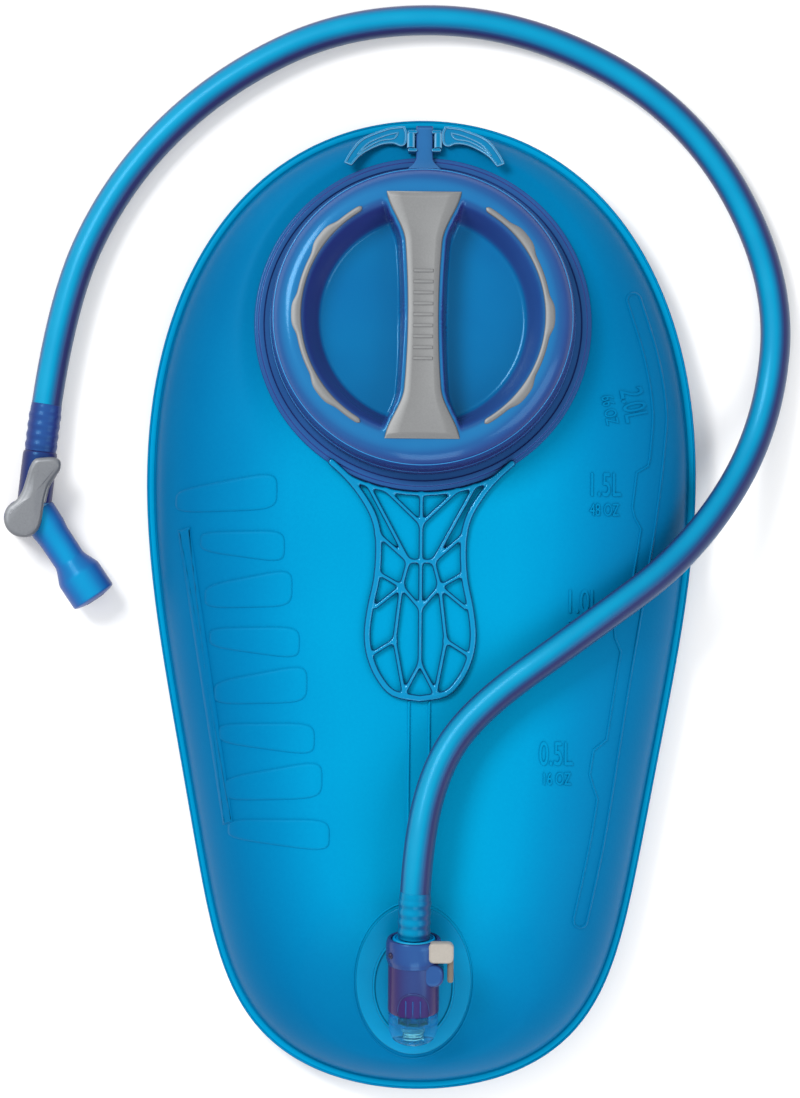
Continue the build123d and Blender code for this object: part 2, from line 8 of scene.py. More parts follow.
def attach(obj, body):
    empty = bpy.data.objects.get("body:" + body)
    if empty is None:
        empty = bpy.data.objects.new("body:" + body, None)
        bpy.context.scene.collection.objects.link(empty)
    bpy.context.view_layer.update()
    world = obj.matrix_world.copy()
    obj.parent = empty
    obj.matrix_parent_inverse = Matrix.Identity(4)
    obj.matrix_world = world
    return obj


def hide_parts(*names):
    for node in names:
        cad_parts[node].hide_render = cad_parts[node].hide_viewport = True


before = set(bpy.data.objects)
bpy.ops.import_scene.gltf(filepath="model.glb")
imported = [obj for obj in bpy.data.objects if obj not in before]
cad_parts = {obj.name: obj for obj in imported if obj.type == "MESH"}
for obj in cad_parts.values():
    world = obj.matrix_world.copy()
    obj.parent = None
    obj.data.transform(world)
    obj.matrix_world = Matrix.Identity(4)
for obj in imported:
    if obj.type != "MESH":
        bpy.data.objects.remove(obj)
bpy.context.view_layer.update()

# Everything below is in millimetres, and build() turns it into metres.
MM = 0.001

# ---- the bladder's shape -------------------------------------------------------------------------
HALF_LENGTH = 167.7
HALF_WIDTH = 95.6
EGG = (91.8, 22.9, 16.3, -27.8, 18.0)    # half width / sin(a) as a polynomial of cos(a)
SEAM_Z = 11.2
SEAM_WIDTH = 3.0
FRONT_RISE = 28.8
FRONT_REACH = 61.0          # inset over which the front rises
BACK_FALL = 11.2
BACK_REACH = 23.0
FILM = 0.7
AROUND = 288                # points round the outline
TOP_PAINTED_LIGHT = 0.2              # painted light: the film is painted a little brighter near the top, where the key lamp falls

COLLAR_ORIGIN = (0.0, 96.6, 31.9)
COLLAR_TILT = -8.0
COLLAR_OPENING = 47.0       # the film is open inside this radius
TAB_ORIGIN = (0.0, 154.6, 25.4)
TAB_TILT = -30.0
PORT_ORIGIN = (-1.2, -128.0, 32.3)
PORT_TILT = 15.0
OUTLET_Y = -144.2
OUTLET_OPENING = 4.0
VALVE_ORIGIN = (-132.2, 52.0, 8.4)
VALVE_HEADING = -6.25


def local_frame(origin, tilt=0.0, heading=0.0):
    """The matrix of a sub-assembly's own axes, in millimetres."""
    turn = Matrix.Rotation(math.radians(heading), 4, "Z") @ Matrix.Rotation(math.radians(tilt), 4, "X")
    return Matrix.Translation(origin) @ turn


COLLAR = local_frame(COLLAR_ORIGIN, COLLAR_TILT)
TAB = local_frame(TAB_ORIGIN, TAB_TILT)
PORT = local_frame(PORT_ORIGIN, PORT_TILT)
VALVE = local_frame(VALVE_ORIGIN, heading=VALVE_HEADING)
WORLD = Matrix.Identity(4)
UP = (0.0, 0.0, 1.0)
WHITE = (1.0, 1.0, 1.0)


# ---- node helpers --------------------------------------------------------------------------------
def set_inputs(node, **values):
    """Set a node's inputs by name, with _ for a space."""
    for name, value in values.items():
        node.inputs[name.replace("_", " ")].default_value = value
    return node


def material(name, roughness=0.35, coat=0.0, transmission=0.0, ior=1.45, specular=0.5, tint=WHITE):
    mat = bpy.data.materials.new(name)
    mat.use_nodes = True
    shader = set_inputs(mat.node_tree.nodes["Principled BSDF"], Roughness=roughness, Coat_Weight=coat,
                        Coat_Roughness=0.12, Transmission_Weight=transmission, IOR=ior,
                        Specular_IOR_Level=specular, Specular_Tint=(*tint, 1.0))
    return mat, mat.node_tree, shader


def ramp(tree, source, stops):
    """A colour ramp over a value: stops are (place, colour)."""
    node = tree.nodes.new("ShaderNodeValToRGB")
    elements = node.color_ramp.elements
    while len(elements) < len(stops):
        elements.new(0.5)
    for element, (place, colour) in zip(elements, stops):
        element.position = place
        element.color = (*colour, 1.0)
    tree.links.new(source, node.inputs["Fac"])
    return node.outputs["Color"]


def upness(tree, lean=UP):
    """How far a surface faces up out of the bladder's front, or up along lean, 0 to 1; colour ramps over it
    paint light and shade.
    """
    coords = tree.nodes.new("ShaderNodeTexCoord")
    facing = tree.nodes.new("ShaderNodeVectorMath")
    facing.operation = "DOT_PRODUCT"
    facing.inputs[1].default_value = Vector(lean).normalized()
    tree.links.new(coords.outputs["Normal"], facing.inputs[0])
    scale = tree.nodes.new("ShaderNodeMath")
    scale.operation = "MULTIPLY_ADD"
    scale.inputs[1].default_value = 0.5
    scale.inputs[2].default_value = 0.5
    tree.links.new(facing.outputs["Value"], scale.inputs[0])
    return scale.outputs[0]


def noise_value(tree, scale, detail=2.0, roughness=0.5):
    coords = tree.nodes.new("ShaderNodeTexCoord")
    node = set_inputs(tree.nodes.new("ShaderNodeTexNoise"), Scale=scale, Detail=detail, Roughness=roughness)
    tree.links.new(coords.outputs["Object"], node.inputs["Vector"])
    return node.outputs["Fac"]


def attribute_value(tree, name):
    node = tree.nodes.new("ShaderNodeAttribute")
    node.attribute_name = name
    return node.outputs["Fac"]


def blended(tree, low, high, factor, kind="MIX"):
    node = tree.nodes.new("ShaderNodeMix")
    node.data_type = "RGBA"
    node.blend_type = kind
    for socket, value in (("A", low), ("B", high)):
        target = [s for s in node.inputs if s.name == socket and s.type == "RGBA"][0]
        if isinstance(value, tuple):
            target.default_value = (*value, 1.0)
        else:
            tree.links.new(value, target)
    fac = [s for s in node.inputs if s.name == "Factor" and s.type == "VALUE"][0]
    if isinstance(factor, float):
        fac.default_value = factor
    else:
        tree.links.new(factor, fac)
    return [s for s in node.outputs if s.type == "RGBA"][0]


def mottled(tree, colour, value, dark, low=0.3):
    """A colour that is a little darker where a value is low."""
    return blended(tree, colour, ramp(tree, value, [(low, dark), (1 - low, WHITE)]), 1.0, "MULTIPLY")


def grained(tree, shader, fine, smoothest, roughest, strength, distance=0.0001):
    """Fine grain, both in the gloss and as a bump."""
    gloss = set_inputs(tree.nodes.new("ShaderNodeMapRange"), To_Min=smoothest, To_Max=roughest)
    tree.links.new(fine, gloss.inputs["Value"])
    tree.links.new(gloss.outputs["Result"], shader.inputs["Roughness"])
    if strength:
        node = set_inputs(tree.nodes.new("ShaderNodeBump"), Strength=strength, Distance=distance)
        tree.links.new(fine, node.inputs["Height"])
        tree.links.new(node.outputs["Normal"], shader.inputs["Normal"])


# ---- materials -----------------------------------------------------------------------------------
CYAN = (0.0, 0.22, 0.44)
CYAN_BRIGHT = (0.0, 0.27, 0.50)
CYAN_DEEP = (0.0, 0.115, 0.27)
CYAN_EDGE = (0.0, 0.06, 0.16)
PERIWINKLE = (0.020, 0.10, 0.29)
PERIWINKLE_DEEP = (0.020, 0.045, 0.17)
PURPLE = (0.024, 0.018, 0.11)
TUBE_LEAN = (-0.36, 0.22, 1.0)           # the tube's painted highlight stripe sits a little to the upper left, towards the key lamp
CAP_LEAN = (-0.22, 0.16, 1.0)            # and the cap's ring has its painted highlight there too, towards the key lamp
TAB_LEAN = (0.0, 0.5, 0.87)              # straight out of the tilted hang tab
GREY_LEAN = (-0.4, 0.3, 1.0)             # painted light on the matt grey pieces leans the same way: lighter facing the key lamp, painted shade away from it
GLOSS_TINT = (0.12, 0.6, 1.0)            # translucent blue plastic gives its gloss a tint


def film_material():
    """Blue film with a fine pressed grain: painted shade darkens it towards the edges of the dome, and it is
    lightest in the middle.
    """
    mat, tree, shader = material("film", roughness=0.42, specular=0.12, tint=GLOSS_TINT)
    base = ramp(tree, attribute_value(tree, "tone_and_shade"), [
        (0.0, CYAN_EDGE), (0.03, CYAN), (0.06, CYAN_BRIGHT), (0.10, CYAN_DEEP), (0.3, (0.0, 0.13, 0.30)),
        (0.55, (0.0, 0.175, 0.37)), (0.8, (0.0, 0.24, 0.46)), (1.0, (0.0, 0.26, 0.48))])
    grain = noise_value(tree, 900.0, 3.0, 0.6)
    cloudy = mottled(tree, base, noise_value(tree, 14.0), (0.86, 0.90, 0.93))
    tree.links.new(mottled(tree, cloudy, grain, (0.93, 0.95, 0.97)), shader.inputs["Base Color"])
    grained(tree, shader, grain, 0.36, 0.5, 0.25, 0.00012)
    return mat


def tinted_plastic(name, stops, roughness=0.22, coat=0.04, lean=UP):
    """Moulded translucent plastic with light and shade painted by facing: the colour is deeper on walls,
    where light passes through more of it, as painted shade, and lighter towards the tops as painted light.
    """
    mat, tree, shader = material(name, roughness=roughness, coat=coat, specular=0.35, tint=GLOSS_TINT)
    base = ramp(tree, upness(tree, lean), stops)
    colour = mottled(tree, base, noise_value(tree, 60.0), (0.88, 0.90, 0.94))
    tree.links.new(colour, shader.inputs["Base Color"])
    grained(tree, shader, noise_value(tree, 1600.0), roughness * 0.85, roughness * 1.2, 0.05)
    return mat


def matte_material(name, light, dark, roughness, grain_scale, grain, lean=None):
    """Matt moulded plastic or overmoulded rubber with a fine spark-eroded grain, and light and shade painted
    by facing where a lean is given.
    """
    mat, tree, shader = material(name, roughness=roughness, specular=0.4)
    fine = noise_value(tree, grain_scale, 4.0, 0.65)
    base = ramp(tree, noise_value(tree, 45.0, 3.0), [(0.25, dark), (0.75, light)])
    # painted light: lighter where the surface faces along lean, painted shade where it faces away
    if lean:
        painted_light_by_facing = ramp(tree, upness(tree, lean), [(0.7, (0.36, 0.36, 0.38)), (0.90, (0.56, 0.56, 0.57)),
                                               (0.955, (0.62, 0.62, 0.62)), (0.995, WHITE)])
        base = blended(tree, base, painted_light_by_facing, 1.0, "MULTIPLY")
    tree.links.new(mottled(tree, base, fine, (0.92, 0.92, 0.92), 0.35), shader.inputs["Base Color"])
    grained(tree, shader, fine, roughness - 0.08, roughness + 0.08, grain, 0.00015)
    return mat


def clear_material(name, tints, transmission=0.92, ior=1.47, coat=0.0):
    """Clear moulded plastic, faintly blue."""
    mat, tree, shader = material(name, roughness=0.06, coat=coat, transmission=transmission, ior=ior)
    tree.links.new(ramp(tree, noise_value(tree, 90.0), [(0.3, tints[0]), (0.7, tints[1])]),
                   shader.inputs["Base Color"])
    grained(tree, shader, noise_value(tree, 700.0), 0.04, 0.10, 0.05)
    return mat


def steel_material():
    mat, tree, shader = material("spring_steel", roughness=0.3)
    set_inputs(shader, Metallic=1.0)
    fine = noise_value(tree, 1200.0)
    grey = ramp(tree, fine, [(0.3, (0.5, 0.5, 0.5)), (0.7, (0.66, 0.66, 0.67))])
    tree.links.new(grey, shader.inputs["Base Color"])
    grained(tree, shader, fine, 0.25, 0.4, 0.0)
    return mat


def cap_material():
    """Tinted cap plastic: water shows bright through the thin recess floors; thick walls go purple, partly
    the dye and partly painted shade, and the ring has a painted highlight towards the upper left.
    """
    mat, tree, shader = material("cap_plastic", roughness=0.2, coat=0.16, specular=0.35, tint=GLOSS_TINT)
    # painted light: wall purple is partly dye and partly painted shade, and the ring is painted lighter
    # towards the key lamp
    dye_and_painted_light = ramp(tree, upness(tree, CAP_LEAN), [
        (0.0, PERIWINKLE_DEEP), (0.5, PURPLE), (0.70, (0.018, 0.028, 0.15)), (0.84, (0.018, 0.06, 0.22)),
        (0.94, (0.014, 0.085, 0.25)), (1.0, (0.012, 0.14, 0.33))])
    colour = blended(tree, dye_and_painted_light, (0.0, 0.125, 0.31), attribute_value(tree, "thin"))
    cloudy = mottled(tree, colour, noise_value(tree, 40.0), (0.86, 0.88, 0.94))
    tree.links.new(cloudy, shader.inputs["Base Color"])
    grained(tree, shader, noise_value(tree, 1500.0), 0.17, 0.25, 0.04)
    return mat


# The tinted plastics' ramps run over facing: their dark wall colours are painted shade and their light top
# colours painted light.
MATERIALS = {
    "film": film_material(),
    "cap": cap_material(),
    "clear": clear_material("clear_plastic", ((0.62, 0.88, 0.97), (0.75, 0.94, 1.0))),
    "socket": clear_material("socket_clear", ((0.16, 0.66, 0.88), (0.22, 0.74, 0.94)), 0.96, 1.04, 0.06),
    "grip": matte_material(
        "grey_grip", (0.28, 0.288, 0.292), (0.25, 0.258, 0.264), 0.5, 1600.0, 0.25, GREY_LEAN),
    "button": matte_material("tan_button", (0.36, 0.335, 0.30), (0.32, 0.295, 0.265), 0.42, 1400.0, 0.15),
    # painted shade: a darker copy of the tan for the button's side
    "button_painted_shade": matte_material(
        "tan_button_painted_shade", (0.15, 0.13, 0.105), (0.11, 0.095, 0.08), 0.45, 1400.0, 0.15),
    "lever": matte_material(
        "lever_plastic", (0.29, 0.305, 0.33), (0.25, 0.267, 0.29), 0.3, 1400.0, 0.12, GREY_LEAN),
    "connector": tinted_plastic("connector_plastic", [
        (0.0, (0.018, 0.012, 0.07)), (0.55, (0.034, 0.008, 0.06)), (0.80, (0.040, 0.010, 0.075)),
        (0.92, (0.030, 0.028, 0.12)), (1.0, (0.026, 0.045, 0.16))], roughness=0.25),
    "connector_top": tinted_plastic("connector_collar_plastic", [
        (0.0, (0.018, 0.012, 0.07)), (0.55, (0.020, 0.02, 0.10)), (0.80, (0.020, 0.035, 0.15)),
        (0.92, (0.020, 0.055, 0.20)), (1.0, (0.022, 0.07, 0.225))], roughness=0.22, coat=0.08),
    "nose": tinted_plastic("nose_plastic", [
        (0.0, (0.018, 0.006, 0.05)), (0.80, (0.030, 0.006, 0.065)), (1.0, (0.040, 0.014, 0.11))],
        roughness=0.3),
    "valve": tinted_plastic("valve_plastic", [
        (0.0, (0.012, 0.008, 0.05)), (0.6, (0.020, 0.008, 0.06)), (0.85, (0.018, 0.018, 0.10)),
        (1.0, (0.016, 0.04, 0.17))], roughness=0.3),
    "barb": tinted_plastic("barb_plastic", [
        (0.0, CYAN_EDGE), (0.5, (0.0, 0.20, 0.5)), (0.8, CYAN), (1.0, (0.02, 0.40, 0.62))], roughness=0.15),
    # painted light: the tube ramps paint a highlight stripe along the tube's top and painted shade down its
    # sides
    "tube": tinted_plastic("tube", [
        (0.0, (0.017, 0.06, 0.13)), (0.50, (0.017, 0.05, 0.13)), (0.62, (0.024, 0.03, 0.10)),
        (0.78, (0.026, 0.024, 0.10)), (0.85, (0.012, 0.06, 0.17)), (0.91, (0.004, 0.15, 0.30)),
        (0.96, (0.002, 0.235, 0.41)), (1.0, (0.01, 0.26, 0.44))], roughness=0.3, lean=TUBE_LEAN),
    "tube_on_barb": tinted_plastic("tube_on_barb", [
        (0.0, (0.017, 0.06, 0.13)), (0.52, (0.017, 0.06, 0.13)), (0.66, (0.022, 0.04, 0.14)),
        (0.80, (0.0, 0.09, 0.22)), (0.92, (0.0, 0.175, 0.33)), (1.0, (0.0, 0.22, 0.40))],
        roughness=0.3, lean=TUBE_LEAN),
    "tube_on_valve": tinted_plastic("tube_on_valve", [
        (0.0, (0.012, 0.03, 0.12)), (0.6, (0.018, 0.035, 0.15)), (0.85, (0.02, 0.03, 0.15)),
        (1.0, (0.018, 0.06, 0.22))], roughness=0.35),
    # painted shade: clear plastic over the film drawn opaque, dark on its walls and film-blue on top
    "over_film": tinted_plastic("clear_over_film", [
        (0.0, (0.0, 0.04, 0.10)), (0.55, (0.0, 0.035, 0.10)), (0.75, (0.0, 0.09, 0.19)),
        (0.88, (0.0, 0.2, 0.38)), (0.97, (0.0, 0.25, 0.47)), (1.0, (0.0, 0.245, 0.46))],
        roughness=0.12, coat=0.2),
    # painted shade: the clear lattice drawn opaque, dark on the walls of its rim and ribs
    "lattice": tinted_plastic("clear_lattice", [
        (0.0, (0.0, 0.04, 0.10)), (0.55, (0.010, 0.012, 0.07)), (0.76, (0.006, 0.03, 0.11)),
        (0.88, (0.0, 0.11, 0.25)), (0.96, (0.0, 0.235, 0.44)), (1.0, (0.0, 0.20, 0.40))],
        roughness=0.12, coat=0.2),
    # painted highlight: a pale band on the sloping rims stands for light caught in the clear edges
    "arm": tinted_plastic("arm_plastic", [
        (0.0, (0.0, 0.08, 0.2)), (0.6, (0.01, 0.12, 0.28)), (0.85, (0.2, 0.42, 0.6)),
        (0.97, (0.0, 0.19, 0.38)), (1.0, (0.0, 0.165, 0.345))], roughness=0.12, coat=0.2, lean=TAB_LEAN),
    "strap": tinted_plastic("strap_plastic", [
        (0.0, PERIWINKLE_DEEP), (0.5, PURPLE), (0.85, (0.02, 0.07, 0.24)), (0.97, (0.022, 0.115, 0.30)),
        (1.0, (0.020, 0.115, 0.30))], roughness=0.22, coat=0.06, lean=TAB_LEAN),
    # painted highlight: a whitish strip along the spout's top
    "spout": tinted_plastic("spout_plastic", [
        (0.0, (0.012, 0.03, 0.15)), (0.6, (0.02, 0.09, 0.26)), (0.85, (0.05, 0.20, 0.42)),
        (0.94, (0.20, 0.38, 0.55)), (1.0, (0.27, 0.43, 0.56))], roughness=0.25, coat=0.1),
    # painted highlight: bright edge lines, lighter towards the key lamp
    "edge": tinted_plastic("bright_edge", [
        (0.0, PERIWINKLE_DEEP), (0.6, PERIWINKLE), (0.85, (0.02, 0.16, 0.42)), (1.0, (0.05, 0.30, 0.58))],
        roughness=0.18, coat=0.1, lean=(-0.5, 0.3, 1.0)),
    "collar": tinted_plastic("collar_plastic", [
        (0.0, PERIWINKLE_DEEP), (0.5, PURPLE), (0.85, (0.024, 0.04, 0.18)), (0.97, (0.022, 0.07, 0.24)),
        (1.0, (0.020, 0.085, 0.26))], roughness=0.22, coat=0.05),
    "silicone": tinted_plastic("bite_silicone", [
        (0.0, (0.012, 0.03, 0.15)), (0.55, (0.013, 0.04, 0.2)), (0.8, (0.012, 0.07, 0.27)),
        (0.93, (0.008, 0.14, 0.36)), (1.0, (0.004, 0.22, 0.44))], roughness=0.35),
    # painted shade: the clear port plate drawn opaque, darker on its walls
    "plate": tinted_plastic("port_plate_clear", [
        (0.0, (0.0, 0.05, 0.12)), (0.6, (0.0, 0.06, 0.14)), (0.85, (0.0, 0.15, 0.30)),
        (0.95, (0.0, 0.215, 0.425)), (1.0, (0.0, 0.205, 0.41))], roughness=0.3),
    "dark": matte_material("shadowed_hollow", (0.012, 0.008, 0.05), (0.009, 0.006, 0.04), 0.4, 900.0, 0.1),
    "seal": matte_material("seal_rubber", (0.03, 0.03, 0.035), (0.02, 0.02, 0.022), 0.55, 900.0, 0.2),
    "steel": steel_material(),
}


# ---- mesh helpers --------------------------------------------------------------------------------
def add_object(name, data):
    piece = bpy.data.objects.new(name, data)
    bpy.context.collection.objects.link(piece)
    return piece


def build(name, shape, mat, body, place=WORLD, smooth=True, node=None):
    """A mesh object from points and faces in a sub-assembly's own axes, riding on a body."""
    points, faces = shape
    mesh = bpy.data.meshes.new(name)
    mesh.from_pydata([(place @ Vector(p)) * MM for p in points], [], faces)
    mesh.validate()
    work = bmesh.new()
    work.from_mesh(mesh)
    bmesh.ops.recalc_face_normals(work, faces=work.faces)
    work.to_mesh(mesh)
    work.free()
    mesh.polygons.foreach_set("use_smooth", [smooth] * len(mesh.polygons))
    piece = add_object(name, mesh)
    mesh.materials.append(MATERIALS[mat])
    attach(piece, body)
    if node:
        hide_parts(node)
    return piece


def evaluated_mesh(name, curve):
    """The mesh of a curve, without keeping an object for it."""
    holder = add_object(name, curve)
    mesh = bpy.data.meshes.new_from_object(holder.evaluated_get(bpy.context.evaluated_depsgraph_get()))
    bpy.data.objects.remove(holder)
    return mesh


def set_values(piece, name, values):
    """A value for each point of a piece, for its material."""
    attribute = piece.data.attributes.new(name, "FLOAT", "POINT")
    attribute.data.foreach_set("value", values)


def polar(radius, angle):
    return radius * math.cos(angle), radius * math.sin(angle)


def circle(radius, count):
    """Points (x, y) evenly round a circle."""
    return [polar(radius, 2 * math.pi * k / count) for k in range(count)]


def level_circle(radius, count, height):
    return [(x, y, height) for x, y in circle(radius, count)]


def loops(rings, closed_ends=(False, False)):
    """Points and quads of a skin over rings of equal length, with flat ends where asked."""
    points = [p for ring in rings for p in ring]
    n = len(rings[0])
    faces = []
    for r in range(len(rings) - 1):
        for i in range(n):
            j = (i + 1) % n
            faces.append((r * n + i, r * n + j, (r + 1) * n + j, (r + 1) * n + i))
    for end, ring in zip(closed_ends, (0, len(rings) - 1)):
        if end:
            faces.append(tuple(range(ring * n, ring * n + n)))
    return points, faces


def lathe(profile, around=128, axis="Z", closed=True):
    """A solid of revolution: profile points are (radius, height)."""
    profile = profile + profile[:1] if closed else profile
    return loops([[(x, y, height) if axis == "Z" else (x, height, y) for x, y in circle(radius, around)]
                  for radius, height in profile])


def ball(radius, steps, around):
    tilts = [math.radians(-89.9 + 179.8 * k / steps) for k in range(steps + 1)]
    return lathe([polar(radius, tilt) for tilt in tilts], around, closed=False)


def rounded(profile, radius=0.5, steps=4):
    """The same closed profile with its corners rounded."""
    out = []
    for before, corner, after in zip(profile[-1:] + profile[:-1], profile, profile[1:] + profile[:1]):
        c, b, a = Vector(corner), Vector(before), Vector(after)
        reach = min(radius, (b - c).length * 0.45, (a - c).length * 0.45)
        if reach < 0.02 or corner[0] < 0.01:
            out.append(corner)
            continue
        start = c + (b - c).normalized() * reach
        end = c + (a - c).normalized() * reach
        for k in range(steps + 1):
            u = k / steps
            p = start * (1 - u) ** 2 + c * 2 * u * (1 - u) + end * u * u
            out.append((p.x, p.y))
    return out


def smooth_min(a, b, k):
    low = min(a, b)
    return low - k * math.log(math.exp((low - a) / k) + math.exp((low - b) / k))


def step(low, high, value):
    """0 below low, 1 above high and smooth between."""
    u = min(1.0, max(0.0, (value - low) / (high - low)))
    return u * u * (3 - 2 * u)


def merged(parts):
    """Points and faces of several shapes as one."""
    points, faces = [], []
    for more_points, more_faces in parts:
        base = len(points)
        points += more_points
        faces += [tuple(base + i for i in face) for face in more_faces]
    return points, faces


def shift(shape, x=0.0, y=0.0, z=0.0):
    points, faces = shape
    return [(px + x, py + y, pz + z) for px, py, pz in points], faces


def shrunk(ring, scale):
    """Points (x, y) of a ring drawn in towards its middle."""
    cx = sum(p[0] for p in ring) / len(ring)
    cy = sum(p[1] for p in ring) / len(ring)
    return [(cx + (p[0] - cx) * scale, cy + (p[1] - cy) * scale) for p in ring]


def inset_outline(outline, inset):
    """The same closed outline moved inwards along its normals."""
    n = len(outline)
    following = outline[1:] + outline[:1]
    area = sum(a[0] * b[1] - b[0] * a[1] for a, b in zip(outline, following))
    turn = 1 if area > 0 else -1
    moved = []
    for i in range(n):
        along = (Vector(following[i]) - Vector(outline[i - 1])).normalized()
        moved.append((outline[i][0] - along.y * inset * turn, outline[i][1] + along.x * inset * turn))
    return moved


def between(a, b, share):
    return a[0] + (b[0] - a[0]) * share, a[1] + (b[1] - a[1]) * share


def evenly(points, gap):
    """A closed line of points about a gap apart."""
    out = []
    for a, b in zip(points, points[1:] + points[:1]):
        parts = max(1, round(math.dist(a, b) / gap))
        out += [between(a, b, k / parts) for k in range(parts)]
    return out


def bar(path, half_width, half_height, closed=False, around=10):
    """An oval bar along a line of points, level across."""
    rings = []
    n = len(path)
    for i, centre in enumerate(path):
        before = Vector(path[i - 1] if i or closed else path[0])
        after = Vector(path[(i + 1) % n] if i < n - 1 or closed else path[-1])
        along = (after - before).normalized()
        rings.append(ring_round(Vector(centre), along, half_width, half_height, around))
    if closed:
        return loops(rings + rings[:1])
    return loops(rings, (True, True))


def ring_round(centre, along, half_width, half_height, count):
    """An oval ring of points round a place on a line, level across."""
    across = along.cross(Vector(UP)).normalized()
    up = across.cross(along)
    return [tuple(centre + across * half_width * x + up * half_height * y) for x, y in circle(1.0, count)]


# ---- films ---------------------------------------------------------------------------------------
def outline_point(angle, inset):
    c = math.cos(angle)
    x = math.sin(angle) * sum(k * c**n for n, k in enumerate(EGG))
    return x * (1 - inset / HALF_WIDTH), HALF_LENGTH * c * (1 - inset / HALF_LENGTH)


def seat_height(origin, tilt, y):
    """Height of a tilted seat's plane over a place along the bladder."""
    return origin[2] + (y - origin[1]) * math.tan(math.radians(tilt))


def front_height(inset, y):
    u = min(1.0, max(0.0, (inset - SEAM_WIDTH) / FRONT_REACH))
    z = SEAM_Z + FRONT_RISE * math.sqrt(1 - (1 - u) ** 2)
    z = smooth_min(z, seat_height(COLLAR_ORIGIN, COLLAR_TILT, y) + 0.1, 0.35)
    return smooth_min(z, seat_height(PORT_ORIGIN, PORT_TILT, y) + 0.1, 0.35)


def inset_at(x, y):
    """How far a place is inside the outline, by halving."""
    low, high = 0.0, 90.0
    for _ in range(28):
        middle = (low + high) / 2
        far_y = y / (1 - middle / HALF_LENGTH)
        if abs(far_y) < HALF_LENGTH:
            angle = math.acos(far_y / HALF_LENGTH)
            inside = abs(x) < outline_point(angle, middle)[0]
        else:
            inside = False
        if inside:
            low = middle
        else:
            high = middle
    return low


def film_z(x, y):
    return front_height(inset_at(x, y), y)


def painted_dome_shade(inset):
    """The film's painted shade at an inset from the outline: darker towards the edge of the dome."""
    return 0.12 + 0.88 * min(1.0, max(0.0, (inset - SEAM_WIDTH) / FRONT_REACH))


# inset, rise and colour value: a thin outer bead, a groove, the bright weld band and a dark inner step, with
# painted shade at the outer edge, the groove and the step
SEAM_SECTION = [(0.0, 0.0, 0.0), (0.0, 0.45, 0.0), (0.25, 0.6, 0.02), (0.5, 0.6, 0.05), (0.7, 0.38, 0.0),
                (0.9, 0.6, 0.06), (2.3, 0.6, 0.06), (2.55, 0.5, 0.04), (2.75, 0.1, 0.0), (3.0, 0.15, 0.0)]


def outline_ring(inset, height):
    """The outline at an inset, with a height or a function that gives it from y."""
    places = [outline_point(2 * math.pi * i / AROUND, inset) for i in range(AROUND)]
    return [(x, y, height(y) if callable(height) else height) for x, y in places]


def front_film():
    """The front wall: welded seam, domed skin, and the openings under the collar and the port."""
    rings = [outline_ring(inset, SEAM_Z + rise) for inset, rise, _ in SEAM_SECTION]
    tones_and_shades = [tone_and_shade for _, _, tone_and_shade in SEAM_SECTION]
    domed, middle = 60, 36
    for k in range(1, domed + 1):
        inset = SEAM_WIDTH + FRONT_REACH * (1 - math.cos(math.pi / 2 * k / domed))
        rings.append(outline_ring(inset, lambda y, d=inset: front_height(d, y)))
        tones_and_shades.append(painted_dome_shade(inset))
    edge = rings[-1]
    for k in range(1, middle + 1):
        s = 1 - k / (middle + 0.6)
        rings.append([(x * s, y * s, front_height(SEAM_WIDTH + FRONT_REACH, y * s)) for x, y, _ in edge])
        tones_and_shades.append(1.0)
    points, faces = loops(rings, (False, True))

    def open_here(face):
        x = sum(points[i][0] for i in face) / len(face)
        y = sum(points[i][1] for i in face) / len(face)
        over_collar = math.hypot(x, y - COLLAR_ORIGIN[1]) < COLLAR_OPENING
        return over_collar or math.hypot(x - PORT_ORIGIN[0], y - OUTLET_Y) < OUTLET_OPENING

    faces = [face for face in faces if not open_here(face)]
    piece = build("front_skin", (points, faces), "film", "reservoir", node="front_film")
    values = []
    # painted shade for each point, with painted light added near the top except on the seam
    for k, (_, y, _) in enumerate(points):
        tone_and_shade = tones_and_shades[k // AROUND]
        values.append(tone_and_shade + (TOP_PAINTED_LIGHT * step(95.0, 150.0, y) if tone_and_shade > 0.11 else 0.0))
    finish_film(piece, values, faces_up=True)


def back_film():
    """The back wall, flat where it lies."""
    section = [(0.0, 0.0), (0.0, 0.45), (0.35, 0.6), (2.6, 0.6), (3.0, 0.2)]
    rings = [outline_ring(inset, SEAM_Z - drop) for inset, drop in section]
    # painted shade: the back film too is darker at its seam lines and towards its edges
    tones_and_shades = [0.0, 0.0, 0.03, 0.06, 0.0]
    domed, middle = 30, 24
    for k in range(1, domed + 1):
        share = 1 - math.cos(math.pi / 2 * k / domed)
        drop = BACK_FALL * math.sqrt(1 - (1 - share) ** 2)
        rings.append(outline_ring(SEAM_WIDTH + BACK_REACH * share, SEAM_Z - drop))
        tones_and_shades.append(0.12 + 0.6 * share)
    edge = rings[-1]
    for k in range(1, middle + 1):
        s = 1 - k / (middle + 0.6)
        rings.append([(x * s, y * s, 0.0) for x, y, _ in edge])
        tones_and_shades.append(0.72 + 0.28 * min(1.0, k / 12))
    piece = build("back_skin", loops(rings, (False, True)), "film", "reservoir", node="back_film")
    finish_film(piece, [tone_and_shade for tone_and_shade in tones_and_shades for _ in range(AROUND)], faces_up=False)


def finish_film(piece, tones_and_shades, faces_up):
    """Painted shade value for the colour, and the film's thickness on its inner side."""
    set_values(piece, "tone_and_shade", tones_and_shades)
    if (sum(p.normal.z for p in piece.data.polygons) > 0) != faces_up:
        piece.data.flip_normals()
    solid = piece.modifiers.new("thickness", "SOLIDIFY")
    solid.thickness = FILM * MM
    solid.offset = -1


front_film()
back_film()


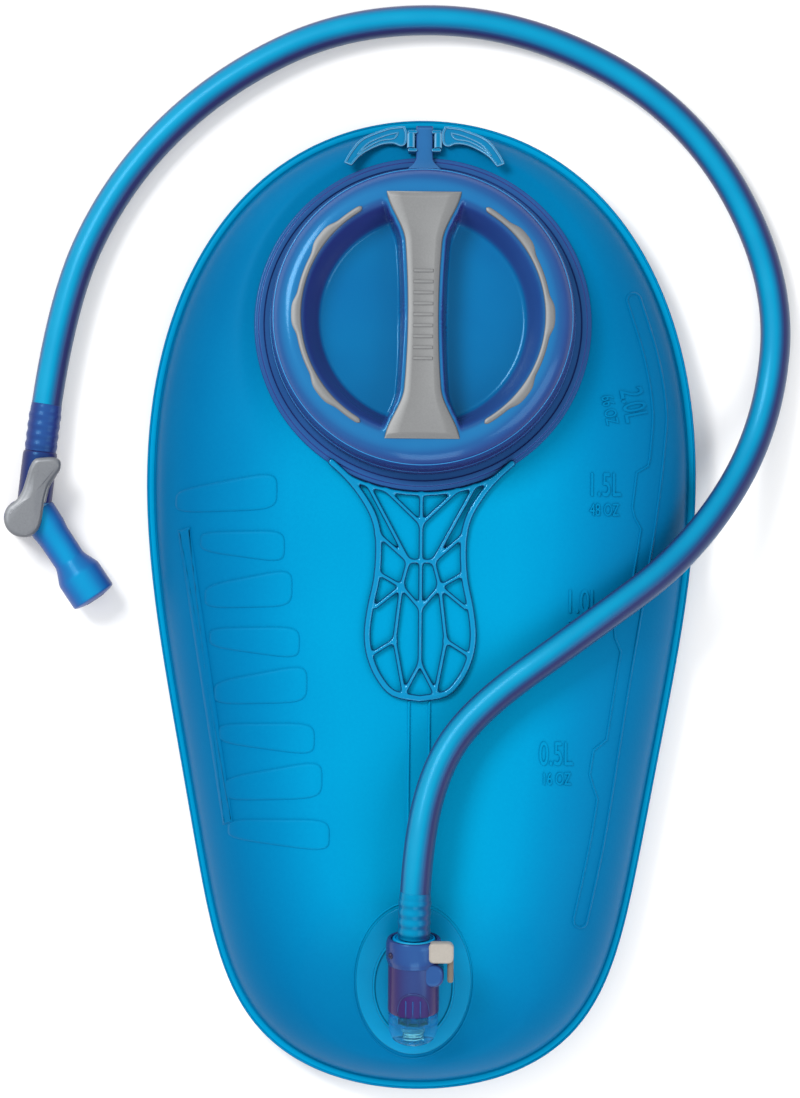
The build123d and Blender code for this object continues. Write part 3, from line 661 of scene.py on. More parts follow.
# ---- drink tube ----------------------------------------------------------------------------------
TUBE_R = 5.25
COLLAR_TO = 17.8
START_RUN = 24.4
AXIS_H = 11.2                # height of the connector's axis over the port's seat
BARB_PITCH = 3.4
ROUTE = [tuple(PORT @ Vector((0, COLLAR_TO + run, AXIS_H))) for run in (0, START_RUN)] + [
    (4.6, -57.4, 49.5), (18.9, -35.6, 47.0), (55.0, -9.3, 45.5), (94.2, 19.9, 29.5), (120.2, 62.5, 8.0),
    (124.2, 115.0, 5.4), (92.4, 171.5, 5.4), (34.5, 202.3, 5.4), (-24.6, 203.5, 5.4), (-71.4, 181.3, 5.4),
    (-106.8, 145.7, 5.4), (-127.0, 99.5, 8.4), (-132.2, 52.0, 8.4)]


def drink_tube():
    curve = bpy.data.curves.new("tube_run", "CURVE")
    curve.dimensions = "3D"
    curve.resolution_u = 16
    curve.bevel_depth = TUBE_R * MM
    curve.bevel_resolution = 8
    curve.use_fill_caps = True
    spline = curve.splines.new("NURBS")
    spline.points.add(len(ROUTE) - 1)
    for point, place in zip(spline.points, ROUTE):
        point.co = (*[v * MM for v in place], 1.0)
    spline.order_u = 3
    spline.use_endpoint_u = True
    curve.materials.append(MATERIALS["tube"])
    tube = add_object("tube_run", curve)
    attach(tube, "drink_line")
    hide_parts("drink_tube")
    return tube


tube = drink_tube()


# ---- cap -----------------------------------------------------------------------------------------
CAP_R = 52.4
CAP_TOP = 20.6
CROWN_R = 44.6
RECESS_R = 35.4
RECESS_FLOOR = 8.4
BRIDGE_REACH = 43.5
BRIDGE_END = 14.3
BRIDGE_WAIST = 6.7
BRIDGE_RIM = 1.4
GRIP_IN = 41.8
GRIP_OUT = 44.2
GRIP_BUMP = 1.7
GRIP_HALF_ANGLE = 58.0
CAP_AROUND = 384


def bridge_half(y):
    """Half width of the bridge at a place along it: an hourglass."""
    u = min(1.0, abs(y) / BRIDGE_REACH)
    return BRIDGE_WAIST + (BRIDGE_END - BRIDGE_WAIST) * (0.4 * u * u + 0.6 * step(0.58, 0.98, u))


def crown_height(r):
    """Height of the cap's ring over its radius: recess floor, inner wall, crown and shoulder."""
    if r < CROWN_R:
        wall = RECESS_FLOOR + (CAP_TOP - 2.6 - RECESS_FLOOR) * step(RECESS_R - 1.2, RECESS_R + 5.6, r)
        return wall + 2.6 * math.sin(math.pi / 2 * step(RECESS_R + 3.4, CROWN_R, r))
    u = min(1.0, (r - CROWN_R) / (CAP_R - CROWN_R))
    return CAP_TOP - 8.2 * (1 - math.sqrt(1 - u * u))


def cap_height(x, y):
    r = math.hypot(x, y)
    ring = crown_height(r)
    beside = bridge_half(y) - abs(x)
    rise = step(-1.5, 0.2, beside)
    along = 1 - step(CROWN_R - 3.0, CROWN_R + 4.5, r)
    bridge = RECESS_FLOOR + (CAP_TOP - RECESS_FLOOR) * rise * along
    return -smooth_min(-ring, -bridge, 0.45)


def cap_body():
    """The translucent cap: a ring with two D-shaped finger recesses, a skirt outside and a plug below."""
    radii = [0.02] + [RECESS_R * k / 56 for k in range(1, 57)]
    radii += [RECESS_R + (CAP_R - RECESS_R) * math.sin(math.pi / 2 * k / 44) for k in range(1, 45)]
    rings = [[(x, y, cap_height(x, y)) for x, y in circle(r, CAP_AROUND)] for r in radii]
    thin = [1 - step(0.15, 2.2, z - RECESS_FLOOR) for ring in rings for _, _, z in ring]
    under = [(CAP_R, 8.0), (CAP_R + 0.25, 6.0), (CAP_R + 0.25, 2.8), (CAP_R - 0.2, 2.4), (48.0, 2.4),
             (47.6, 2.8), (47.6, 15.2), (47.2, 15.6), (39.8, 15.6), (39.4, 15.2), (39.4, 5.8), (39.0, 5.4),
             (20.0, 5.4), (0.02, 5.4)]
    rings += [level_circle(r, CAP_AROUND, z) for r, z in under]
    thin += [0.0] * CAP_AROUND * len(under)
    cap = build("cap_body", loops(rings, (True, True)), "cap", "cap", COLLAR, node="cap_shell")
    set_values(cap, "thin", thin)


GRIP_SECTION = [(-1, -1.0), (-1, -0.4), (-0.97, 0.0), (-0.93, 0.22), (-0.6, 0.12), (-0.3, 0.06), (0, 0.04),
                (0.3, 0.06), (0.6, 0.12), (0.93, 0.22), (0.97, 0.0), (1, -0.4), (1, -1.0)]
BRIDGE_RIBS = 9
BRIDGE_RIBS_REACH = 15.2


def bridge_grip():
    """The grey insert along the bridge, slightly hollow, with a row of raised ribs at its waist."""
    rings = []
    count = 96
    reach = BRIDGE_REACH - 0.5
    for k in range(count + 1):
        y0 = -reach + 2 * reach * k / count
        half = bridge_half(y0) - BRIDGE_RIM
        end = min(1.0, (reach - abs(y0)) / 0.6)
        curve_in = math.copysign(0.8, y0) * step(0.8, 1.0, abs(y0) / reach)
        ring = []
        for place, height in GRIP_SECTION:
            x = place * half
            y = y0 - curve_in * (1 - (x / BRIDGE_END) ** 2)
            ring.append((x, y, CAP_TOP + 0.7 + height * end - (1 - end) * 0.5))
        rings.append(ring)
    build("bridge_grip", loops(rings, (True, True)), "grip", "cap", COLLAR,
          node="cap_bridge_grip")
    bars = []
    for k in range(BRIDGE_RIBS):
        y = BRIDGE_RIBS_REACH - 2 * BRIDGE_RIBS_REACH * k / (BRIDGE_RIBS - 1)
        rings = []
        for z, inset in ((0.6, 0.0), (0.95, 0.0), (1.1, 0.16)):
            x0, y0, y1 = 3.4 - inset, y - 0.55 + inset, y + 0.55 - inset
            rings.append([(px, py, CAP_TOP + z) for px, py in ((-x0, y0), (x0, y0), (x0, y1), (-x0, y1))])
        bars.append(loops(rings, (True, True)))
    build("bridge_ribs", merged(bars), "grip", "cap", COLLAR, smooth=False)


def edge_lines():
    """Thin bright edges where light leaves the ring, a painted highlight brightest towards the key lamp, at
    the crown's shoulder and low on the side.
    """
    shapes = [bar(level_circle(r, 240, z), half, half, closed=True, around=8)
              for r, z, half in ((51.3, crown_height(51.3), 0.22), (52.35, 7.2, 0.25))]
    build("cap_edge_lines", merged(shapes), "edge", "cap", COLLAR)


CURVED_SECTION = [(0, -3.0), (0, -0.1), (0.06, 0.3), (0.16, 0.45), (0.45, 0.45), (0.62, 0.4), (0.74, 0.25),
                  (0.86, -0.1), (0.96, -0.6), (1.0, -1.3), (1.0, -4.0)]
GRIP_END = 2.4               # degrees over which a curved grip narrows to its end


def curved_grip(name, side, node):
    """A grey band on the crown with three finger bumps on its outer side."""
    rings = []
    count = 150
    middle = (GRIP_IN + GRIP_OUT) / 2
    for k in range(count + 1):
        angle = -GRIP_HALF_ANGLE - GRIP_END + 2 * (GRIP_HALF_ANGLE + GRIP_END) * k / count
        over = max(0.0, abs(angle) - GRIP_HALF_ANGLE) / GRIP_END
        slim = math.sqrt(max(0.0, 1 - over * over)) * 0.98 + 0.02
        bump = sum(math.exp(-((angle - at) / 7.6) ** 4) for at in (-38, 0, 38))
        inner = middle - (middle - GRIP_IN) * slim
        outer = middle + (GRIP_OUT - middle) * slim + GRIP_BUMP * bump
        ring = []
        for share, rise in CURVED_SECTION:
            r = inner + (outer - inner) * share
            drop = crown_height(max(r, CROWN_R)) - CAP_TOP
            x, y = polar(r, math.radians(angle))
            ring.append((side * x, y, CAP_TOP + rise * (0.3 + 0.7 * slim) + 0.35 * drop))
        rings.append(ring)
    build(name, loops(rings, (True, True)), "grip", "cap", COLLAR, node=node)


def lugs(section):
    """Four bayonet lugs, each a short arc with a (radius, height) section."""
    shapes = []
    for k in range(4):
        angles = [math.radians(34 + 90 * k + 22 * i / 8) for i in range(9)]
        shapes.append(loops([[(*polar(r, a), z) for r, z in section] for a in angles], (True, True)))
    return merged(shapes)


def cap_lugs():
    shape = lugs([(48.2, 4.4), (46.0, 4.6), (46.0, 6.8), (48.2, 7.0)])
    build("cap_lugs", shape, "cap", "cap", COLLAR, smooth=False)


cap_body()
bridge_grip()
curved_grip("grip_right", 1, "cap_grip_right")
curved_grip("grip_left", -1, "cap_grip_left")
cap_lugs()
edge_lines()


# ---- pressed marks on the film -------------------------------------------------------------------
def on_film(x, y, rise=0.0):
    return (x, y, film_z(x, y) + rise)


def ridge(name, path, width=0.8, height=0.4, closed=False):
    """A low rounded ridge in the front film along a line of (x, y) points."""
    dense = []
    for a, b in zip(path, path[1:] + path[:1] if closed else path[1:]):
        parts = max(1, int(math.dist(a, b) / 2.0))
        dense += [between(a, b, k / parts) for k in range(parts)]
    if not closed:
        dense.append(path[-1])
    rings = []
    n = len(dense)
    for i, (x, y) in enumerate(dense):
        before = dense[i - 1] if i or closed else dense[0]
        after = dense[(i + 1) % n] if i < n - 1 or closed else dense[-1]
        along = Vector((after[0] - before[0], after[1] - before[1])).normalized() * width / 2
        rings.append([on_film(x + along.y * share, y - along.x * share, rise * height) for share, rise in (
            (-1, -0.5), (-0.7, 0.35), (-0.35, 0.85), (0, 1.0), (0.35, 0.85), (0.7, 0.35), (1, -0.5))])
    if closed:
        rings.append(rings[0])
    paint_film_shade(build(name, loops(rings), "film", "reservoir"))


def paint_film_shade(mark):
    """The film's painted shade value at each point of a mark."""
    places = [vertex.co / MM for vertex in mark.data.vertices]
    set_values(mark, "tone_and_shade", [painted_dome_shade(inset_at(place.x, place.y)) for place in places])


def smooth_line(points, parts=8):
    """A Catmull-Rom line through points."""
    out = []
    padded_points = [points[0]] + list(points) + [points[-1]]
    for p0, p1, p2, p3 in zip(padded_points, padded_points[1:], padded_points[2:], padded_points[3:]):
        for k in range(parts):
            t = k / parts
            out.append(tuple(
                0.5 * (2 * b + (c - a) * t + (2 * a - 5 * b + 4 * c - d) * t * t
                       + (3 * b - a - 3 * c + d) * t**3)
                for a, b, c, d in zip(p0, p1, p2, p3)))
    out.append(points[-1])
    return out


GAUGE_LINE = [(72.7, 105.9), (78.4, 88.0), (81.6, 71.5), (81.6, 57.7), (77.6, 23.1), (69.4, -29.0),
              (62.2, -77.3), (56.0, -108.2)]
GAUGE_HALF = 2.4
GAUGE_STEPS = ((38.6, 8.3), (-5.2, 6.0), (-55.2, 7.0))    # middle and half length of each step outwards
GAUGE_STEP_OUT = 4.0


def gauge():
    """The level strip up the right side: a long closed outline that steps out at each graduation."""
    middle = smooth_line(GAUGE_LINE, 12)
    left, right = [], []
    for i, (x, y) in enumerate(middle):
        before, after = middle[max(0, i - 1)], middle[min(len(middle) - 1, i + 1)]
        along = Vector((after[0] - before[0], after[1] - before[1])).normalized()
        out = sum(step(at - half - 2, at - half + 1, y) * (1 - step(at + half - 1, at + half + 2, y))
                  for at, half in GAUGE_STEPS)
        reach = GAUGE_HALF + GAUGE_STEP_OUT * out
        right.append((x - along.y * GAUGE_HALF, y + along.x * GAUGE_HALF))
        left.append((x + along.y * reach, y - along.x * reach))

    def cap_end(a, b):
        centre = Vector(between(a, b, 0.5))
        spoke = Vector(a) - centre
        return [tuple(centre + Matrix.Rotation(math.pi * k / 8, 2) @ spoke) for k in range(1, 8)]

    outline = left + cap_end(left[-1], right[-1]) + right[::-1] + cap_end(right[0], left[0])
    ridge("gauge_outline", outline, 1.15, 0.5, closed=True)


def label(name, text, x, y, size, squeeze, turn=0.0):
    """A pressed graduation label that follows the film."""
    curve = bpy.data.curves.new(name, "FONT")
    curve.body = text
    curve.size = size
    curve.extrude = 0.5
    curve.bevel_depth = 0.12
    curve.offset = -0.05
    curve.align_x = "CENTER"
    curve.align_y = "CENTER"
    mesh = evaluated_mesh(name, curve)
    work = bmesh.new()
    work.from_mesh(mesh)
    long_edges = [e for e in work.edges if e.calc_length() > 1.2]
    bmesh.ops.subdivide_edges(work, edges=long_edges, cuts=2)
    bmesh.ops.triangulate(work, faces=[f for f in work.faces if len(f.verts) > 4])
    spin = Matrix.Rotation(math.radians(turn), 2)
    for vertex in work.verts:
        flat = spin @ Vector((vertex.co.x * squeeze, vertex.co.y))
        px, py = x + flat.x, y + flat.y
        vertex.co = Vector(on_film(px, py, vertex.co.z - 0.12)) * MM
    work.to_mesh(mesh)
    work.free()
    mark = add_object(name, mesh)
    mesh.materials.clear()
    mesh.materials.append(MATERIALS["film"])
    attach(mark, "reservoir")
    paint_film_shade(mark)


LABELS = (("2.0L", "66 OZ", 72.5, 69.7, -78.0), ("1.5L", "48 OZ", 62.8, 41.6, 0.0),
          ("1.0L", "32 OZ", 55.6, 1.4, 0.0), ("0.5L", "16 OZ", 47.0, -51.0, 0.0))


def graduations():
    for large, small, x, y, turn in LABELS:
        spin = Matrix.Rotation(math.radians(turn), 2)
        below = spin @ Vector((0.2, -8.4))
        label(f"level_{large}", large, x, y, 11.5, 0.60, turn)
        label(f"ounces_{small[:2]}", small, x + below.x, y + below.y, 6.0, 0.62, turn)


MOTIF_CELLS = 8
MOTIF_TOP = 37.0
MOTIF_PITCH = 16.5
PRESS_HEIGHT = 0.75


def plateau(name, outline):
    """A flat raised shape pressed into the film, with sloping sides."""
    rings = [[on_film(x, y, rise) for x, y in inset_outline(outline, inset)]
             for inset, rise in ((0.0, -0.3), (0.25, 0.2), (0.6, 0.62), (1.0, PRESS_HEIGHT))]
    top = inset_outline(outline, 1.0)
    for k in range(1, 8):
        rings.append([on_film(x, y, PRESS_HEIGHT) for x, y in shrunk(top, 1 - k / 7.4)])
    paint_film_shade(build(name, loops(rings, (False, True)), "film", "reservoir"))


def motif():
    """A plain pressed pattern down the left side: a row of rounded cells beside a bar."""
    for k in range(MOTIF_CELLS):
        y = MOTIF_TOP - MOTIF_PITCH * k
        left = -77.0 + (27.0 - y) * 0.105 if k else -85.0
        right = -47.5 + (26.0 - y) * 0.165
        wide = (right - left) / 2
        high = MOTIF_PITCH * (0.42 if k % 2 == 0 else 0.36)
        lean = 0.12 if k % 2 == 0 else -0.05
        cell = []
        for c, n in circle(1.0, 64):
            px = math.copysign(abs(c) ** 0.4, c) * wide
            py = math.copysign(abs(n) ** 0.5, n) * high * (0.8 + 0.2 * px / wide)
            cell.append(((left + right) / 2 + px, y + py + lean * px))
        plateau(f"pressed_cell_{k + 1}", evenly(cell, 1.2))
    corners = [(-84.2, 25.0), (-79.4, 26.5), (-63.6, -75.5), (-67.6, -76.5)]
    plateau("pressed_bar", evenly(corners, 1.5))


def weld_lines():
    """The two edges of the baffle's weld, and the contour of the weld round the port."""
    for name, x in (("weld_left", -3.6), ("weld_right", 3.4)):
        ridge(name, [(x, -33.0), (x, -98.0)], 1.3, 0.8)
    egg = [(PORT_ORIGIN[0] + 20.6 * c, PORT_ORIGIN[1] - 1 + 27.2 * n) for c, n in circle(1.0, 72)]
    ridge("port_weld", egg, 0.8, 0.3, closed=True)


gauge()
graduations()
motif()
weld_lines()


# ---- plates and blocks ---------------------------------------------------------------------------
def pebble(outline, low, high, radius, dome=0.0):
    """A plate with a closed outline, a rounded top edge and a slightly domed top."""
    rings = []
    foot = 0.2
    for k in range(3):
        c, n = polar(1.0, math.pi / 2 * k / 2)
        rings.append([(x, y, low + foot * (1 - c)) for x, y in inset_outline(outline, foot * (1 - n))])
    for k in range(9):
        c, n = polar(1.0, math.pi / 2 * k / 8)
        rings.append([(x, y, high - radius * (1 - n)) for x, y in inset_outline(outline, radius * (1 - c))])
    top = rings[-1]
    for k in range(1, 6):
        s = 1 - k / 5.3
        rings.append([(x, y, top[0][2] + dome * (1 - s * s)) for x, y in shrunk(top, s)])
    return loops(rings, (True, True))


def rounded_block(x0, x1, y0, y1, low, high, radius, edge):
    """A block with rounded upright corners and a rounded top edge."""
    outline = []
    for cx, cy, start in ((x1 - radius, y1 - radius, 0), (x0 + radius, y1 - radius, 90),
                          (x0 + radius, y0 + radius, 180), (x1 - radius, y0 + radius, 270)):
        for k in range(7):
            c, n = polar(radius, math.radians(start + 15 * k))
            outline.append((cx + c, cy + n))
    return pebble(evenly(outline, 1.0), low, high, edge)


# ---- fill collar and dryer arms ------------------------------------------------------------------
PIN_AT = (4.7, 0.0, 1.7)     # where a dryer arm's pin starts, beside the hang tab


def fill_collar():
    flange = lathe(rounded([
        (40.0, 0.0), (58.0, 0.0), (58.0, 1.5), (56.7, 1.5), (56.4, 2.1), (54.8, 2.1), (54.5, 1.6),
        (45.2, 1.6), (44.0, 2.8), (44.0, 13.0), (40.0, 13.0)], 0.5), around=256)
    catches = lugs([(43.6, 8.6), (45.6, 8.8), (45.6, 11.0), (43.6, 11.2)])
    build("collar_flange", merged([flange, catches]), "collar", "reservoir", COLLAR,
          node="fill_collar")

    strap = []
    for k in range(13):
        u = k / 12
        y = -9.0 + 20.5 * u
        half = 2.9 + 4.8 * (1 - step(0.0, 0.36, u))
        strap.append([(x, y, z) for x, z in ((-half, -0.4), (-half, 1.5), (-half + 0.5, 1.85),
                                             (half - 0.5, 1.85), (half, 1.5), (half, -0.4))])
    ears = []
    for side in (-1, 1):
        x0, x1 = sorted((2.5 * side, 5.7 * side))
        ears += [rounded_block(x0, x1, y - 0.6, y + 0.6, 0.3, 2.55, 0.5, 0.3) for y in (1.4, 8.8)]
        pin = lathe([(0.7, 1.0), (0.7, 9.2)], around=24, axis="Y", closed=False)
        ears.append(shift(pin, side * PIN_AT[0], *PIN_AT[1:]))
    build("hang_tab", loops(strap, (True, True)), "strap", "reservoir", TAB)
    build("hinge_ears", merged(ears), "arm", "reservoir", TAB)


ARM_OUTER = [(-7.2, 10.8), (-11.0, 10.3), (-14.0, 9.4), (-21.2, 5.8), (-25.0, 0.8), (-27.2, -3.6)]
ARM_INNER = [(-25.2, -4.6), (-21.8, -0.2), (-15.7, 3.6), (-11.0, 4.5), (-8.2, 3.4), (-6.6, 4.6), (-6.4, 8.6)]
ARM_SLOT = [(-9.2, 8.6), (-13.4, 7.4), (-19.4, 4.2), (-23.0, -0.6), (-20.4, 2.0), (-15.4, 5.2), (-10.6, 6.2)]


def dryer_arm(side, body, node):
    """A clear bent arm: a thin plate with a rounded rim and a long slot."""
    outline = evenly(smooth_line(ARM_OUTER, 5) + smooth_line(ARM_INNER, 5), 0.8)
    slot_line = evenly(smooth_line(ARM_SLOT + ARM_SLOT[:1], 4)[:-1], 0.8)

    def on_plate(points):
        return [(side * -x, y, 1.85) for x, y in points]

    plate = pebble([(side * -x, y) for x, y in outline], 1.1, 1.9, 0.25)
    rim = bar(on_plate(outline), 0.42, 0.6, closed=True)
    slot_rim = bar(on_plate(slot_line), 0.34, 0.55, closed=True)
    barrel = lathe(rounded([(0.78, 2.2), (1.4, 2.2), (1.4, 8.0), (0.78, 8.0)], 0.15), 32, "Y")
    shapes = [plate, rim, slot_rim, shift(barrel, side * PIN_AT[0], *PIN_AT[1:])]
    build(f"arm_{body.split('_')[0]}", merged(shapes), "arm", body, TAB, node=node)


fill_collar()
dryer_arm(-1, "left_arm", "dryer_arm_left")
dryer_arm(1, "right_arm", "dryer_arm_right")


# ---- handle --------------------------------------------------------------------------------------
HANDLE_Z = 41.1
HANDLE_RIM = [(31.0, 49.0), (25.2, 43.6), (20.0, 37.0), (16.2, 30.0), (14.6, 22.0), (15.0, 10.0),
              (17.2, -1.0), (18.2, -10.0), (17.2, -17.5), (14.2, -24.5), (9.0, -30.2), (0.0, -32.0)]
HANDLE_RIBS = [((0, 38.4), (0, 28)), ((12.2, 39.6), (0, 28)), ((18.2, 41.0), (4.3, 15.2)),
               ((15.0, 24.6), (4.3, 15.2)), ((0, 15.2), (4.3, 15.2)), ((0, 28), (0, -20)),
               ((4.3, 15.2), (6.6, 6.5)), ((6.6, 6.5), (14.6, 11)), ((6.6, 6.5), (15.2, -0.5)),
               ((6.6, 6.5), (0, -1.0)), ((6.6, 6.5), (8.8, -12.0)), ((8.8, -12.0), (16.8, -17.0)),
               ((8.8, -12.0), (5.6, -29.0)), ((0, -20), (5.0, -29.5))]


LATTICE_GRID = 0.32
LATTICE_EDGE = 0.95          # how far in the rounded edge reaches
LATTICE_HALF_HEIGHT = 0.9
LATTICE_FILLET = 0.35
LATTICE_FAR = 4.0            # lines farther than this don't count
LATTICE_LOW_Y = -34.4
LATTICE_SIZE = (33, 86)      # half width and length of the grid
SEAT_ARC = 58.9              # the ribs end on an arc along the collar's edge


def lattice_field(x, y, lines):
    """How far a place is outside the lattice (negative inside), with lines blended where they meet."""
    near = []
    near = []
    for half, points in lines:
        best = 9.0
        for (ax, ay), (bx, by) in zip(points, points[1:]):
            dx, dy = bx - ax, by - ay
            t = min(1.0, max(0.0, ((x - ax) * dx + (y - ay) * dy) / (dx * dx + dy * dy)))
            best = min(best, math.hypot(x - ax - t * dx, y - ay - t * dy))
        if best - half < LATTICE_FAR:
            near.append(best - half)
    if not near:
        return LATTICE_FAR
    low = min(near)
    return low - LATTICE_FILLET * math.log(sum(math.exp((low - d) / LATTICE_FILLET) for d in near))


def handle():
    """The moulded lattice: a rounded rim and slanting ribs that run into it with small fillets."""
    seat = [(x, COLLAR_ORIGIN[1] - math.sqrt(SEAT_ARC**2 - x * x) * math.cos(math.radians(COLLAR_TILT)))
            for x in (0, 5, 10, 15, 20, 25)]
    lines = [(1.2, smooth_line(HANDLE_RIM, 4)), (0.8, seat)] + [(0.8, rib) for rib in HANDLE_RIBS]
    columns, rows = (int(size / LATTICE_GRID) for size in LATTICE_SIZE)
    values = [[lattice_field(i * LATTICE_GRID, LATTICE_LOW_Y + j * LATTICE_GRID, lines) for j in range(rows)]
              for i in range(columns)]
    used, points, faces = {}, [], []

    def corner(i, j, up):
        side = 1 if i >= 0 else -1
        value = values[abs(i)][j]
        rim_point = value >= 0
        key = (i, j, 0 if rim_point else up)
        if key in used:
            return used[key]
        x, y = abs(i) * LATTICE_GRID, LATTICE_LOW_Y + j * LATTICE_GRID
        if rim_point:
            step_x = values[min(columns - 1, abs(i) + 1)][j] - values[max(0, abs(i) - 1)][j]
            step_y = values[abs(i)][min(rows - 1, j + 1)] - values[abs(i)][max(0, j - 1)]
            size = math.hypot(step_x, step_y) or 1.0
            across, along = (step_x / size if i else 0.0), step_y / size
            for _ in range(2):
                x, y = x - value * across, y - value * along
                value = lattice_field(x, y, lines)
            rise = 0.0
        else:
            inward = min(1.0, -value / LATTICE_EDGE)
            rise = LATTICE_HALF_HEIGHT * math.sqrt(1 - (1 - inward) ** 2)
        used[key] = len(points)
        points.append((side * x, y, HANDLE_Z + up * rise))
        return used[key]

    for i in range(1 - columns, columns - 1):
        for j in range(rows - 1):
            square = ((i, j), (i + 1, j), (i + 1, j + 1), (i, j + 1))
            if min(values[abs(a)][b] for a, b in square) < 0:
                for up in (1, -1):
                    faces.append(tuple(corner(a, b, up) for a, b in square))
    build("handle_lattice", (points, faces), "lattice", "reservoir", node="handle")


handle()


# ---- exit port and quick connector ---------------------------------------------------------------
TUBE_BORE = 2.6
SOCKET_LIP_R = 8.2
HOUSING_R = 8.8
WINDOW_R = 8.86


def oval(half_width, half_length, y):
    return [(half_width * c, y + half_length * n) for c, n in circle(1.0, 96)]


def tube_along_y(profile, z, around=96):
    """A solid of revolution round an axis along Y, at a height."""
    return shift(lathe(profile, around, "Y"), z=z)


def on_drum(radius, x, y, more=0.0):
    """A place on the upper side of a drum round the connector's axis."""
    return (x, y, AXIS_H + math.sqrt(radius**2 - x * x) + more)


def exit_port():
    """The welded plate with its pocket rim, and the clear socket with a rounded end."""
    plate = pebble(oval(19.8, 26.8, -1.0), 0.05, 0.55, 0.35)
    rim = bar([(x, y, 0.55) for x, y in oval(13.7, 18.6, -3.0)], 0.55, 0.5, closed=True, around=12)
    build("port_plate", merged([plate, rim]), "plate", "reservoir", PORT, node="exit_port")
    shapes = [tube_along_y(rounded([
        (0.02, -20.0), (4.6, -20.0), (7.2, -18.4), (8.4, -15.4), (8.4, -8.8), (5.5, -8.8), (5.5, -13.6),
        (0.02, -13.6)],
        0.8), AXIS_H)]
    for y, r in ((-9.3, 8.65), (-12.2, 8.55)):
        lip = [(SOCKET_LIP_R, y - 0.4), (r, y - 0.4), (r, y + 0.4), (SOCKET_LIP_R, y + 0.4)]
        shapes.append(tube_along_y(rounded(lip, 0.2), AXIS_H))
    build("port_socket", merged(shapes), "socket", "reservoir", PORT)
    foot = rounded_block(-8.2, 8.2, -19.6, -9.0, 0.6, AXIS_H - 6.4, 3.0, 0.5)
    build("socket_foot", foot, "over_film", "reservoir", PORT)


def connector_part(name, shape, mat, node=None):
    build(name, shape, mat, "drink_line", PORT, node=node)


def connector_housing():
    """The translucent purple housing: nose, body, raised arch, button ear and a wide mouth."""
    shapes = [tube_along_y(rounded([
        (TUBE_BORE, -13.0), (4.9, -13.0), (4.9, -8.6), (8.5, -8.6), (HOUSING_R, -8.0), (HOUSING_R, 8.8),
        (3.4, 8.8), (3.4, 4.0), (TUBE_BORE, 4.0)], 0.6), AXIS_H, 128)]
    for k in range(8):
        x, z = polar(5.0, 2 * math.pi * (k + 0.5) / 8)
        shapes.append(bar([(x, y, AXIS_H + z) for y in (-12.8, -11, -9, -7.6)], 0.5, 0.5, around=8))
    arch = []
    for k in range(25):
        c, n = polar(1.0, math.pi * k / 24)
        arch.append(on_drum(HOUSING_R, 5.4 * c, -8.0 + 8.2 * n**0.7, 0.02))
    shapes.append(bar(arch, 0.3, 0.22, around=8))
    connector_part("connector_body", merged(shapes), "connector", "connector_housing")

    collar = tube_along_y(rounded([
        (3.4, 8.4), (8.9, 8.4), (9.1, 9.2), (9.5, 10.4), (9.6, 11.6), (9.6, 16.0), (9.0, 17.8), (7.75, 17.8),
        (7.6, 15.3), (3.4, 15.3)], 0.6), AXIS_H, 128)
    ear = rounded_block(2.8, 10.3, 2.0, 10.2, AXIS_H - 3.0, AXIS_H + 7.7, 3.4, 1.4)
    connector_part("connector_collar", merged([collar, ear]), "connector_top")

    # a dark sheet on the housing for the nose seen through the arch: partly the nose's own colour, partly
    # painted shade of the recess
    points = []
    for k in range(21):
        x = -5.0 + 0.5 * k
        top = -8.4 + 8.0 * math.sqrt(max(0.0, 1 - (x / 5.1) ** 2)) ** 0.6
        points += [on_drum(WINDOW_R, x, -8.5 + (top + 8.5) * i / 8) for i in range(9)]
    faces = [(9 * k + i, 9 * k + i + 1, 9 * k + i + 10, 9 * k + i + 9) for k in range(20) for i in range(8)]
    connector_part("connector_window", (points, faces), "nose")
    # painted highlights: lighter bars on the window stand for glints on the nose's ribs
    glints = [bar([on_drum(WINDOW_R, x, y) for y in (-8.3, -6, -4, -2.4)], 0.28, 0.14, around=8)
              for x in (-2.6, -0.2, 2.4)]
    connector_part("nose_rib_glints", merged(glints), "connector_top")
    connector_part("connector_eye", shift(ball(1.15, 12, 32), -7.7, 12.9, AXIS_H + 5.4), "dark")


def hose_barb():
    """The bright flange in the housing's mouth, and the barbs inside the tube."""
    profile = [(TUBE_BORE, 4.0), (3.3, 4.0), (3.3, 15.4), (7.5, 15.4), (7.5, 17.0), (7.2, 17.8), (6.6, 18.0),
               (6.2, 17.5), (5.5, 17.5), (3.4, 17.6)]
    for k in range(4):
        at = 19.8 + BARB_PITCH * k
        profile += [(3.3, at), (3.8, at), (3.3, at + 2.0)]
    profile += [(3.2, 32.8), (TUBE_BORE, 32.8)]
    barb = tube_along_y(rounded(profile, 0.25), AXIS_H)
    build("barb_flange", barb, "barb", "drink_line", PORT, node="hose_barb")


def release_button():
    """The tan thumb button: a rounded top and a leg down the outside, the leg in a darker copy of the tan as
    painted shade.
    """
    leg = rounded_block(11.5, 13.6, 3.7, 12.4, AXIS_H + 1.2, AXIS_H + 7.2, 0.9, 0.8)
    build("button_leg", leg, "button_painted_shade", "button", PORT)
    top = rounded_block(4.8, 13.6, 10.9, 18.1, AXIS_H + 4.7, AXIS_H + 8.4, 2.0, 1.1)
    build("thumb_button", top, "button", "button", PORT, node="release_button")


exit_port()
connector_housing()
hose_barb()
release_button()


# ---- sleeves where the tube is pushed over a barb -------------------------------------------------
def tube_line():
    """Points of the tube's own spline, in millimetres."""
    curve = bpy.data.objects["tube_run"].data.copy()
    curve.bevel_depth = 0.0
    mesh = evaluated_mesh("probe", curve)
    points = [v.co / MM for v in mesh.vertices]
    bpy.data.meshes.remove(mesh)
    return points


